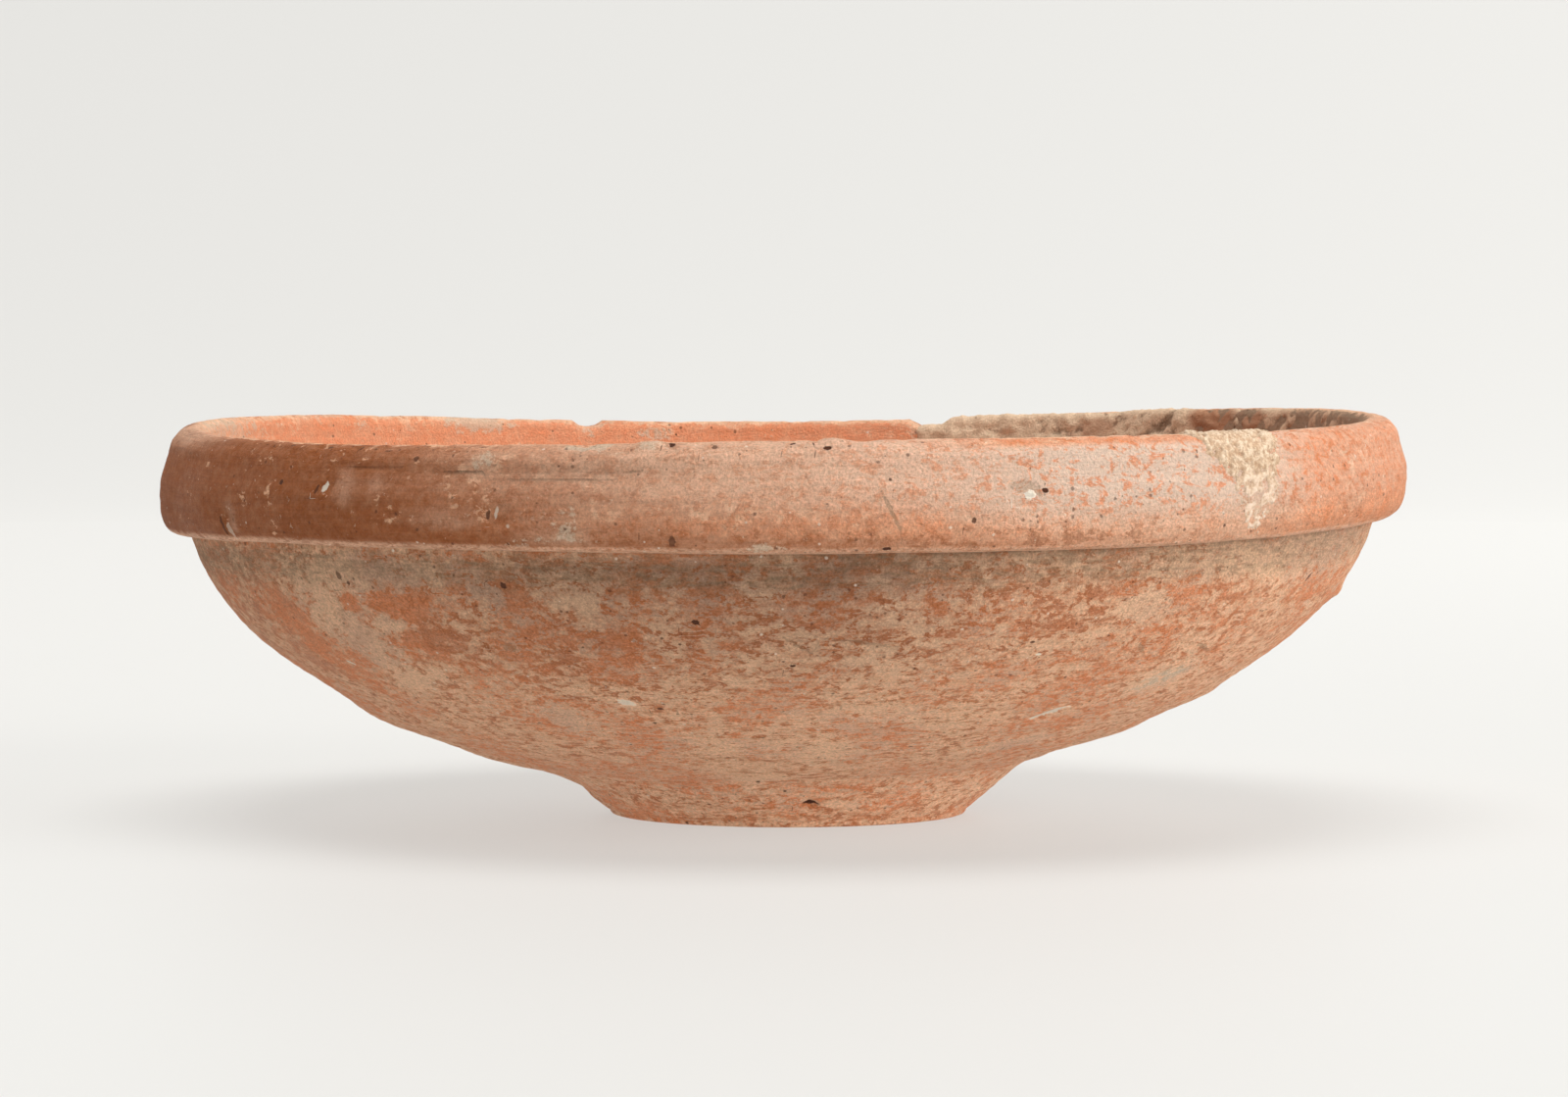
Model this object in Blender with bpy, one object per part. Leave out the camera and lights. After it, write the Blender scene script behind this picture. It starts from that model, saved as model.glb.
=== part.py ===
"""A small red-slipped table bowl, thrown on a wheel and fired in one piece.

The bowl has a collared rim that stands out from the wall, a shallow curved body and a
low tapering foot. It is a turned solid whose points are then moved the way the real pot
has warped: the body leans over its foot, the lip rises at the sides, the lower wall has
been trimmed flat in places, and the lip is chipped.
Sizes are in metres and angles in degrees. +X is to the right of the bowl's front, -Y
is its front and +Z is up. The foot stands on Z = 0. An azimuth is measured from +X,
turning towards +Y.
"""

import math

import bmesh
import bpy
from mathutils import Vector

# Collar and lip
RIM_RADIUS = 0.0805
RIM_HEIGHT = 0.0501
COLLAR_HEIGHT = 0.0128
COLLAR_OVERHANG = 0.0044
COLLAR_LEAN = 0.0014
COLLAR_BULGE = 0.0005
COLLAR_EDGE_ROUNDING = 0.0031
LIP_OUTER_ROUNDING = 0.0032
LIP_INNER_ROUNDING = 0.0017

# Wall and floor. A pull is how strongly the curve holds its slope at that end, and the
# floor's two curves are shares of the floor's radius
WALL_THICKNESS = 0.0047
FLOOR_THICKNESS = 0.0052
WALL_SLOPE_AT_FOOT = 14.3
WALL_SLOPE_AT_COLLAR = 75.7
WALL_PULL_AT_FOOT = 0.0170
WALL_PULL_AT_COLLAR = 0.0164
FLOOR_CURVE_AT_WALL = 0.35
FLOOR_CURVE_AT_MIDDLE = 0.45

# Foot
FOOT_RADIUS = 0.0231
FOOT_TOP_RADIUS = 0.0320
FOOT_HEIGHT = 0.0068
FOOT_EDGE_ROUNDING = 0.0006
FLANK_PULL = 0.0049
HOLLOW_PULL = 0.0024
FOOT_RING_WIDTH = 0.0062
FOOT_RECESS_DEPTH = 0.0014
FOOT_RECESS_SLOPE_WIDTH = 0.0022

# How the pot has warped
BODY_TILT = 1.06
RIM_TILT = 0.53

# Waves in the lip and in the collar's lower edge: how many crests go round, the azimuth
# of one of them, and its height
LIP_WAVES = (
    (1, -90.0, 0.00030),
    (2, -5.0, 0.00072),
    (3, 33.0, 0.00057),
)
COLLAR_EDGE_WAVES = (
    (2, 36.0, 0.00075),
)

# Trimming flats and lumps on the lower wall: azimuth, height above the table, spread
# round the wall in degrees, spread in height, and how far the surface moves outwards
WALL_MARKS = (
    (180.0, 0.0167, 32.0, 0.0041, -0.00036),
    (180.0, 0.0133, 30.0, 0.0029, 0.00210),
    (180.0, 0.0079, 30.0, 0.0020, 0.00230),
    (180.0, 0.0040, 30.0, 0.0012, -0.00080),
    (0.0, 0.0277, 9.0, 0.0013, 0.00075),
    (0.0, 0.0149, 28.0, 0.0013, 0.00095),
    (0.0, 0.0105, 28.0, 0.0011, 0.00095),
    (0.0, 0.0083, 26.0, 0.0007, -0.00160),
)

# Chips out of the lip: azimuth, width along the lip and depth below the crest
LIP_CHIPS = (
    (111.5, 0.0048, 0.0008),
    (74.0, 0.0075, 0.0009),
)
# How far below the crest a chip fades out, the share of its width that is level, and the
# share of it that is kept clear of the evenly spaced points
CHIP_REACH = 0.0120
CHIP_FLOOR = 0.45
CHIP_MARGIN = 1.3

# How finely the outline and each turn of it are divided
SEGMENTS = 92
FLANK_STEPS = 4
WALL_STEPS = 13
ROUNDING_STEPS = 3
COLLAR_STEPS = 3
FLOOR_STEPS = 4

CLAY_COLOUR = (0.62, 0.25, 0.12, 1.0)
CLAY_ROUGHNESS = 0.82


def clear_scene():
    for obj in list(bpy.data.objects):
        bpy.data.objects.remove(obj, do_unlink=True)


def bezier(start, start_pull, end_pull, end, steps):
    """Points of a cubic curve after its start, in the plane of the profile."""
    points = []
    for i in range(1, steps + 1):
        t = i / steps
        s = 1.0 - t
        near_start = start * s**3 + start_pull * (3 * t * s**2)
        near_end = end_pull * (3 * t**2 * s) + end * t**3
        points.append(near_start + near_end)
    return points


def quarter_round(start, corner, end, steps):
    """Points of an elliptical quarter from start to end, inside their square corner."""
    points = []
    for i in range(1, steps + 1):
        angle = math.pi / 2 * i / steps
        from_start = (start - corner) * (1.0 - math.sin(angle))
        from_end = (end - corner) * (1.0 - math.cos(angle))
        points.append(corner + from_start + from_end)
    return points


def direction(slope):
    """A unit step outwards and up, at a slope above the table."""
    angle = math.radians(slope)
    return Vector((math.cos(angle), math.sin(angle)))


def wall_ends():
    """Where the outer wall leaves the foot and where it meets the collar."""
    low = Vector((FOOT_TOP_RADIUS, FOOT_HEIGHT))
    high = Vector((RIM_RADIUS - COLLAR_OVERHANG, RIM_HEIGHT - COLLAR_HEIGHT))
    return low, high


def underside_profile():
    """From the middle of the underside to the foot's outer edge."""
    recess_end = FOOT_RADIUS - FOOT_RING_WIDTH
    recess_start = recess_end - FOOT_RECESS_SLOPE_WIDTH
    ring_end = Vector((FOOT_RADIUS - FOOT_EDGE_ROUNDING, 0.0))
    edge = Vector((FOOT_RADIUS, FOOT_EDGE_ROUNDING))
    return [
        Vector((0.0, FOOT_RECESS_DEPTH)),
        Vector((recess_start / 2, FOOT_RECESS_DEPTH)),
        Vector((recess_start, FOOT_RECESS_DEPTH)),
        Vector((recess_end, 0.0)),
        ring_end,
        *quarter_round(ring_end, Vector((FOOT_RADIUS, 0.0)), edge, 2),
    ]


def flank_profile(start):
    """The foot's tapering side, and the hollow where it runs into the wall."""
    low, _ = wall_ends()
    return bezier(
        start,
        start + (low - start).normalized() * FLANK_PULL,
        low - direction(WALL_SLOPE_AT_FOOT) * HOLLOW_PULL,
        low,
        FLANK_STEPS,
    )


def wall_profile():
    """The outer wall from the foot to the underside of the collar."""
    low, high = wall_ends()
    return bezier(
        low,
        low + direction(WALL_SLOPE_AT_FOOT) * WALL_PULL_AT_FOOT,
        high - direction(WALL_SLOPE_AT_COLLAR) * WALL_PULL_AT_COLLAR,
        high,
        WALL_STEPS,
    )


def collar_profile(start):
    """The collar's underside, its outer face and the lip, round to the crest."""
    edge_in = Vector((RIM_RADIUS - COLLAR_EDGE_ROUNDING, start.y))
    face_low = Vector((RIM_RADIUS - COLLAR_BULGE, start.y + COLLAR_EDGE_ROUNDING))
    face_high = Vector((RIM_RADIUS - COLLAR_LEAN, RIM_HEIGHT - LIP_OUTER_ROUNDING))
    crest = Vector((face_high.x - LIP_OUTER_ROUNDING, RIM_HEIGHT))
    points = [edge_in]
    points += quarter_round(edge_in, Vector((face_low.x, edge_in.y)), face_low, ROUNDING_STEPS)
    for i in range(1, COLLAR_STEPS + 1):
        t = i / COLLAR_STEPS
        bulge = COLLAR_BULGE * math.sin(math.pi * t)
        points.append(face_low.lerp(face_high, t) + Vector((bulge, 0.0)))
    points += quarter_round(face_high, Vector((face_high.x, RIM_HEIGHT)), crest, ROUNDING_STEPS)
    return points


def inside_profile(outer_wall, crest):
    """From the lip's inner edge down the inside to the middle of the floor."""
    lip_in = Vector((crest.x - LIP_INNER_ROUNDING, crest.y - LIP_INNER_ROUNDING))
    points = quarter_round(crest, Vector((lip_in.x, crest.y)), lip_in, ROUNDING_STEPS - 1)
    low, _ = wall_ends()
    line = [low, *outer_wall]
    inner = []
    for i in range(1, len(line), 2):
        along = (line[min(i + 1, len(line) - 1)] - line[i - 1]).normalized()
        inner.append(line[i] + Vector((-along.y, along.x)) * WALL_THICKNESS)
    points.append(lip_in.lerp(inner[-1], 0.5))
    points += reversed(inner)
    floor = Vector((0.0, FOOT_RECESS_DEPTH + FLOOR_THICKNESS))
    last = points[-1]
    inwards = (last - points[-2]).normalized()
    points += bezier(
        last,
        last + inwards * (last.x * FLOOR_CURVE_AT_WALL),
        Vector((last.x * FLOOR_CURVE_AT_MIDDLE, floor.y)),
        floor,
        FLOOR_STEPS,
    )
    return points


def turned_profile():
    """The outline of one half of the bowl, from the underside round to the floor.

    Each entry is a point and whether it belongs to the trimmed outer wall.
    """
    underside = underside_profile()
    flank = flank_profile(underside[-1])
    wall = wall_profile()
    collar = collar_profile(wall[-1])
    inside = inside_profile(wall, collar[-1])
    outline = [(point, False) for point in underside]
    outline += [(point, True) for point in flank + wall[:-1]]
    outline += [(point, False) for point in wall[-1:] + collar + inside]
    return outline


def azimuths():
    """Where the outline is repeated round the pot: evenly, and again across each chip."""
    turns = [2 * math.pi * i / SEGMENTS for i in range(SEGMENTS)]
    for azimuth, width, _ in LIP_CHIPS:
        middle = math.radians(azimuth)
        half_turn = width / 2 / RIM_RADIUS
        turns = [turn for turn in turns if abs(turn - middle) > CHIP_MARGIN * half_turn]
        turns += [middle + half_turn * across for across in (-1.0, -CHIP_FLOOR, CHIP_FLOOR, 1.0)]
    return sorted(turns)


def ease(t):
    t = min(max(t, 0.0), 1.0)
    return t * t * (3.0 - 2.0 * t)


def up_collar(height):
    """How far up the collar a height is: 0 at its lower edge and 1 at the lip."""
    return 1.0 - (RIM_HEIGHT - height) / COLLAR_HEIGHT


def tilt_at(height):
    """The lean of the pot at a height: none under the foot, less again at the lip."""
    over_foot = min(height / FOOT_HEIGHT, 1.0)
    over_collar = min(max(up_collar(height), 0.0), 1.0)
    return math.radians(BODY_TILT + (RIM_TILT - BODY_TILT) * over_collar) * over_foot


def wave(waves, azimuth):
    return sum(rise * math.cos(count * (azimuth - math.radians(top))) for count, top, rise in waves)


def lift(azimuth, height):
    """How far the waves in the lip and in the collar's edge move a point up."""
    over_collar = up_collar(height)
    edge = wave(COLLAR_EDGE_WAVES, azimuth)
    if over_collar < 0.0:
        return edge * ease(1.0 + over_collar)
    return edge + (wave(LIP_WAVES, azimuth) - edge) * over_collar


def turn_between(a, b):
    """The smaller angle between two azimuths, in radians."""
    return abs((a - b + math.pi) % (2 * math.pi) - math.pi)


def wall_push(azimuth, height):
    """How far the trimming flats and lumps move the outer wall outwards."""
    push = 0.0
    for mark_azimuth, mark_height, spread, rise, amount in WALL_MARKS:
        across = turn_between(azimuth, math.radians(mark_azimuth)) / math.radians(spread)
        up = (height - mark_height) / rise
        push += amount * math.exp(-(across**2) - up**2)
    return push


def chip_drop(azimuth, height):
    """How far the chips have broken a point of the lip down."""
    near_crest = ease(1.0 - (RIM_HEIGHT - height) / CHIP_REACH)
    drop = 0.0
    for chip_azimuth, width, depth in LIP_CHIPS:
        along = turn_between(azimuth, math.radians(chip_azimuth)) * RIM_RADIUS / (width / 2)
        drop += depth * near_crest * ease((1.0 - along) / (1.0 - CHIP_FLOOR))
    return drop


def settled(point, azimuth, on_wall):
    """Where a point of the turned outline is on the warped pot, at an azimuth."""
    radius, height = point
    tilt = tilt_at(height)
    raised = height + lift(azimuth, height) - chip_drop(azimuth, height)
    if on_wall:
        radius += wall_push(azimuth, height)
    across = radius * math.cos(azimuth)
    return Vector((
        across * math.cos(tilt) - raised * math.sin(tilt),
        radius * math.sin(azimuth),
        raised * math.cos(tilt) + across * math.sin(tilt),
    ))


def clay_material():
    material = bpy.data.materials.new("red_slip_clay")
    material.use_nodes = True
    shader = material.node_tree.nodes["Principled BSDF"]
    shader.inputs["Base Color"].default_value = CLAY_COLOUR
    shader.inputs["Roughness"].default_value = CLAY_ROUGHNESS
    shader.inputs["Metallic"].default_value = 0.0
    return material


def centre_outline(turned):
    """Moves the pot sideways so that the middle of its outline is over the origin."""
    xs = [vert.co.x for vert in turned.verts]
    ys = [vert.co.y for vert in turned.verts]
    middle = Vector(((min(xs) + max(xs)) / 2, (min(ys) + max(ys)) / 2, 0.0))
    for vert in turned.verts:
        vert.co -= middle


def turn_bowl():
    """The closed surface of the pot: a ring for each point of the outline."""
    outline = turned_profile()
    turns = azimuths()
    turned = bmesh.new()
    start, *middle, end = outline
    centre_below = turned.verts.new(settled(start[0], 0.0, False))
    centre_above = turned.verts.new(settled(end[0], 0.0, False))
    rings = []
    for point, on_wall in middle:
        rings.append([turned.verts.new(settled(point, turn, on_wall)) for turn in turns])
    for i in range(len(turns)):
        j = (i + 1) % len(turns)
        turned.faces.new((centre_below, rings[0][j], rings[0][i]))
        for low, high in zip(rings, rings[1:]):
            turned.faces.new((low[i], low[j], high[j], high[i]))
        turned.faces.new((rings[-1][i], rings[-1][j], centre_above))
    return turned


def build_bowl():
    turned = turn_bowl()
    centre_outline(turned)
    mesh = bpy.data.meshes.new("bowl")
    turned.to_mesh(mesh)
    turned.free()
    mesh.shade_smooth()
    mesh.set_sharp_from_angle(angle=math.radians(40))
    mesh.materials.append(clay_material())
    bowl = bpy.data.objects.new("bowl", mesh)
    bpy.context.scene.collection.objects.link(bowl)


clear_scene()
build_bowl()
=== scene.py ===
"""The looks of a worn, red-slipped table bowl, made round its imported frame.

The bowl is turned again from the outline of its solid, far more finely, so that its wheel
lines, chips, scars and crusts are real surface, and it gets one procedural finish of torn
red slip over pale clay. Sizes are in metres and angles in degrees. +X is to the right of
the bowl's front, -Y is its front and +Z is up.

A place on the bowl is given by two numbers. Its turn is the angle round the pot from the
middle of the front, positive to the right. Its run is how far it is along the outline,
in millimetres, from the middle of the underside: the foot's edge is at 24, the foot's top
at 35, the top of the outer wall at 90, the crest of the lip at 108 and the middle of the
floor inside at 203.
"""

import math
from collections import namedtuple
from functools import partial
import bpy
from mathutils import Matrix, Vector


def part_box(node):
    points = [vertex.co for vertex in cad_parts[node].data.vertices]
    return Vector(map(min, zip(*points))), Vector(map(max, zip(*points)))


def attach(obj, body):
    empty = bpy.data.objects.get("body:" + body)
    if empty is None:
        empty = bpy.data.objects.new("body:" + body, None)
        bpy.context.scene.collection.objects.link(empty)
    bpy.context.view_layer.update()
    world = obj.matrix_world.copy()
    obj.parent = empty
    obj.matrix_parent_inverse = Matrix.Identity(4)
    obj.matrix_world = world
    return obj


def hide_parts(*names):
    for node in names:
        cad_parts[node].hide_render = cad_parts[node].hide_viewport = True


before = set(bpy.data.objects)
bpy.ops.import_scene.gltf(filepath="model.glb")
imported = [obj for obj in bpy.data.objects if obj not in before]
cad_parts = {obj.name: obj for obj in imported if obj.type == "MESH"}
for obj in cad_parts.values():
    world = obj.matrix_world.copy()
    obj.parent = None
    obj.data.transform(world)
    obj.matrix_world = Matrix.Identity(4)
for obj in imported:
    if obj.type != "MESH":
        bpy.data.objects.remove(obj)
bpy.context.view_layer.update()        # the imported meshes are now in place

from types import SimpleNamespace

import bpy
import numpy as np
from bpy.props import FloatProperty, FloatVectorProperty, IntProperty, PointerProperty
from mathutils import Vector, noise

bl_info = {
    "name": "Worn Slipped Bowl",
    "version": (1, 0, 0),
    "blender": (4, 5, 0),
    "location": "View3D > Sidebar > Bowl",
    "description": "Builds a worn, red-slipped table bowl on its packed frame",
    "category": "Object",
}

LOWEST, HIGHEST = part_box("bowl")
MM = 0.001

# How far the collar's rounded face stays inside its square corner, and how far the waves
# and the lean lift the highest point of the lip
COLLAR_SETBACK = 0.00037
LIP_RISE = 0.00148

# The outline, beyond the sizes that a user can change
COLLAR_LEAN = 0.0014
COLLAR_BULGE = 0.0005
COLLAR_EDGE_ROUNDING = 0.0031
LIP_OUTER_ROUNDING = 0.0032
LIP_INNER_ROUNDING = 0.0017
WALL_SLOPE_AT_FOOT = 14.3
WALL_SLOPE_AT_COLLAR = 75.7
WALL_PULL_AT_FOOT = 0.0170
WALL_PULL_AT_COLLAR = 0.0164
FLOOR_START = 1 / 13
FLOOR_CURVE_AT_WALL = 0.35
FLOOR_CURVE_AT_MIDDLE = 0.45
FOOT_EDGE_ROUNDING = 0.0006
FLANK_PULL = 0.0049
HOLLOW_PULL = 0.0024
FOOT_RING_WIDTH = 0.0062
FOOT_RECESS_DEPTH = 0.0014
FOOT_RECESS_SLOPE_WIDTH = 0.0022

# How the pot has warped, as in the solid. Azimuths are measured from +X towards +Y
BODY_TILT = 1.06
RIM_TILT = 0.53

# Each wave's number of crests, the azimuth of one of them, and its height
LIP_WAVES = ((1, -90, 0.0003), (2, -5, 0.00072), (3, 33, 0.00057))
COLLAR_EDGE_WAVES = ((2, 36, 0.00075),)

# Each flat or lump of the outer wall: its azimuth, its height, how far it spreads round and
# up the pot, and how far out it moves the wall
WALL_MARKS = (
    (180, 0.0167, 32, 0.0041, -0.00036),
    (180, 0.0133, 30, 0.0029, 0.0021),
    (180, 0.0079, 30, 0.002, 0.0023),
    (180, 0.004, 30, 0.0012, -0.0008),
    (0, 0.0277, 9, 0.0013, 0.00075),
    (0, 0.0149, 28, 0.0013, 0.00095),
    (0, 0.0105, 28, 0.0011, 0.00095),
    (0, 0.0083, 26, 0.0007, -0.0016),
)

# Each chip's azimuth, width and depth, how far down it fades out, and the share of its
# half width that has the full depth
LIP_CHIPS = ((111.5, 0.0048, 0.0008), (74, 0.0075, 0.0009))
CHIP_REACH = 0.0120
CHIP_FLOOR = 0.45

# The radius inside which each turn of the surface has half as many points
HALVING_RADII = (0.040, 0.020, 0.010, 0.004)

# A mark on the surface: its place, its width round the pot and its height along the
# outline in millimetres, how strong it is and how far it slants in degrees
Mark = namedtuple("Mark", "turn run width tall amount slant", defaults=[0])


def marks(*rows):
    return [Mark(*row) for row in rows]


# Scars, dents and bumps in the surface: the amount is how far it moves outwards, in mm
SCARS = marks(
    (20.9, 99.8, 4.6, 3, -0.45),
    (-43.4, 100.6, 2.2, 2.6, -0.3),
    (-24.8, 97.9, 2.4, 2.8, -0.35),
    (-58.4, 95.4, 1.6, 4.4, -0.3, 20),
    (4.5, 107.2, 3.4, 2.4, 0.3),
    (-11.7, 107.2, 4, 2.2, 0.25),
    (-30, 78.1, 3.4, 3.2, -0.22),
    (-21.8, 103, 30, 0.9, -0.26),
    (-20, 102, 16, 0.8, -0.16),
    (-36, 103.4, 14, 0.8, -0.18),
    (46, 95.6, 5, 3.6, -0.4, 30),
    (36.1, 58.6, 5, 1.7, -0.3, 42),
    (34, 48, 6.4, 1.6, -0.32, 30),
    (5.8, 28.2, 1.9, 1, -0.5),
    (1.4, 76.6, 4.6, 0.9, -0.22, -42),
    (7.4, 77, 8, 0.9, -0.2, -12),
    (81, 79.8, 7, 2, 0.25),
)

# Where the lip is rough and nicked: the amount is the depth of the nicks in mm
ROUGH_LIP = marks(
    (-43, 106, 22, 4.4, 0.45),
    (-14, 107, 20, 3, 0.35),
    (6, 107.5, 16, 2.6, 0.25),
)

# How much red slip is left round the collar, the upper wall, the lower wall and the
# inside. Each pair is a turn and the value there, as in the tables of pairs below
COLLAR_SLIP = (
    (-180, 0.72), (-120, 0.85), (-90, 1.12), (-50, 1.06), (-30, 0.92), (0, 0.84), (48, 0.84),
    (60, 0.92), (90, 0.92), (140, 0.75), (180, 0.72),
)
UPPER_SLIP = (
    (-180, 0.42), (-100, 0.5), (-60, 0.54), (-40, 0.46), (-14, 0.42), (0, 0.4), (14, 0.38), (28, 0.42),
    (45, 0.42), (60, 0.42), (100, 0.48), (180, 0.42),
)
LOWER_SLIP = (
    (-180, 0.38), (-60, 0.38), (-30, 0.35), (0, 0.32), (30, 0.34), (60, 0.36), (100, 0.38), (180, 0.38),
)
INSIDE_SLIP = (
    (-180, 0.97), (-130, 0.97), (-116, 0.9), (-104, 0.55), (-90, 0.45), (-80, 0.6), (0, 0.72),
    (60, 0.66), (96, 0.5), (130, 0.36), (158, 0.2), (166, 0.1), (167, 0.97), (180, 0.97),
)

# Patches where the slip has gone, where it has stayed, and the red zone along the lower
# edge of the collar
BARE_PATCHES = marks(
    (-50, 80.6, 12, 8.6, 0.7),
    (-46, 75.6, 9, 6, 0.6, 30),
    (-42.8, 87.4, 25, 4.6, 0.65),
    (-44, 70, 9, 3.4, 0.6, 20),
    (-28.4, 60.6, 5, 7.5, 0.6),
    (-28.6, 85, 4, 2.6, 0.8),
    (-19.2, 83.9, 5.4, 2.4, 0.8),
    (-42, 80.4, 4.5, 2, 0.9),
    (7.5, 73.6, 3.8, 2, 0.9),
    (-18.6, 65.3, 3.4, 2.2, 0.7),
    (36.6, 81.6, 6, 4.8, 0.8),
    (49.5, 66.5, 8.6, 5, 1, 20),
    (37.8, 48.4, 12, 3.4, 0.8, 20),
    (-6.9, 35.8, 7, 3.4, 0.6),
    (-8, 52, 16, 7, 0.25),
    (7.5, 48.6, 10, 7, 0.45),
    (12, 60, 20, 8, 0.25, -10),
    (58, 88, 46, 7, 0.6),
)
SLIP_PATCHES = marks(
    (-57, 80, 9, 8, 0.5, -30),
    (-60, 72, 12, 5, 0.3, -20),
    (-46.2, 83.1, 3, 2, 1),
    (-38.6, 82.6, 9, 3.2, 0.55),
    (-36.6, 77.6, 11, 4.6, 0.45, 10),
    (-15.4, 78.1, 3.2, 2.8, 0.6),
    (-24, 76, 16, 9, 0.15),
    (28, 82, 16, 9, 0.18),
    (48, 84, 12, 8, 0.22),
)
EDGE_SLIP = marks((12, 93.6, 150, 5, 0.42))

# How brown the slip is round the collar and along the collar's lower edge, and how strongly
# the lowest zone of the collar is blotched with dark red
COLLAR_BROWN = (
    (-180, 0.5), (-90, 0.95), (-40, 0.92), (-24, 0.66), (0, 0.38), (20, 0.08), (30, 0), (100, 0),
    (180, 0.5),
)
EDGE_BROWN = ((-180, 1), (0, 0.8), (60, 0.35), (180, 1))
BLOTCHES = (
    (-180, 0.5), (-60, 0.6), (-30, 1), (34, 1), (46, 0.3), (120, 0.3), (180, 0.5),
)

# The milky film on the collar, how much of it reaches the collar's lower edge, over how many
# mm it rises from there, how much of it the top of the collar lacks, and how chalky it is
COLLAR_FILM = (
    (-180, 0.3), (-90, 0.05), (-60, 0.03), (-46, 0.09), (-34, 0.28), (-25, 0.5), (-18, 0.68),
    (-8, 0.77), (3, 0.79), (12, 0.83), (20, 0.87), (32, 0.98), (42, 0.93), (50, 0.62), (55, 0.46),
    (75, 0.44), (120, 0.4), (180, 0.3),
)
LOW_FILM = (
    (-180, 0.4), (-60, 0.22), (-40, 0.22), (-15, 0.44), (10, 0.5), (30, 0.6), (50, 0.8), (90, 0.8),
    (180, 0.4),
)
FILM_RISE = ((-180, 7), (-120, 10), (8, 10), (24, 4), (120, 4), (180, 7))
BARE_TOP = ((-180, 0), (8, 0), (20, 0.7), (42, 0.6), (50, 0), (180, 0))
COLLAR_CHALK = (
    (-180, 0.2), (-20, 0), (0, 0.15), (15, 0.45), (26, 0.9), (48, 0.9), (56, 0.78), (90, 0.78),
    (180, 0.2),
)
FILM_AND_SHEEN_PATCHES = marks(
    # Dust and the painted sheen of the light along the left end of the lip
    (-78, 106.6, 40, 4.6, 0.6),
    (-41, 100.8, 3.6, 4.4, 0.42),
    (-37.4, 101.2, 2.4, 2.6, 0.3),
    (-30.1, 97.1, 10, 2.6, 0.34),
    (-27, 104, 3.6, 3.4, 0.4),
    (-57.4, 96.2, 2.2, 5.4, 0.45, 20),
    (-19, 95.4, 9, 3.6, 0.35),
    (-51, 97, 9, 3.4, 0.12),
    (-64, 101, 9, 4.4, 0.12, -20),
)

# How thick the grime and the painted shade under the collar are, how far the painted shadow of the collar
# and the dust darken the top of the outer wall, and how much lighter its highest edge is painted, where
# the light catches it
GRIME_AND_SHADE = (
    (-180, 0.7), (-60, 0.64), (-43, 0.56), (-28, 0.58), (-10, 0.64), (6, 0.62), (22, 0.62), (40, 0.62),
    (58, 0.62), (80, 0.5), (180, 0.7),
)
SHADOW_AND_DUST = (
    (-180, 0.2), (-75, 0.14), (-55, 0.14), (-43, 0.16), (-30, 0.28), (-20, 0.37), (-8, 0.41), (0, 0.47),
    (8, 0.47), (14, 0.38), (24, 0.23), (36, 0.19), (50, 0.1), (100, 0.05), (180, 0.2),
)
LIT_TOP = ((-180, 0.5), (-150, 1), (-10, 1), (4, 0.4), (18, 0), (150, 0), (180, 0.5))

# The soil stains inside, and the cream lime stains on the outside and on the lip
INSIDE_SOIL = (
    (-180, 0), (-90, 0), (30, 0.15), (70, 0.7), (96, 0.8), (124, 0.9), (158, 0.9), (162, 0.5),
    (165.5, 0.3), (166.5, 0), (180, 0),
)
LIME_STAINS = marks(
    (45.2, 104.6, 15, 6, 0.5),
    (45.8, 98.6, 7.6, 8, 0.5),
    (-18.4, 106.5, 3.4, 2.2, 0.8),
    (-16.1, 106.8, 3.2, 2.4, 0.9),
    (-11.7, 106.4, 3.2, 2.4, 0.7),
    (-26.6, 104.2, 3.2, 2.6, 0.6),
    (-18.2, 97.6, 4.6, 3.2, 0.4),
    (-19, 94.8, 5.6, 2, 0.6),
    (-22.6, 94.2, 5, 1.8, 0.5),
    (-1.7, 93.8, 4.2, 1.3, 0.8),
    (49.5, 66.5, 8, 4.8, 0.62, 20),
    (-145, 109.4, 12, 3, 0.8),
    (-97, 110.4, 34, 5, 0.6),
    (-129, 110.4, 3, 2, 0.5),
    (-166, 110.7, 5, 2, 0.8),
    (-158, 109.6, 4, 2, 0.5),
)

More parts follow.
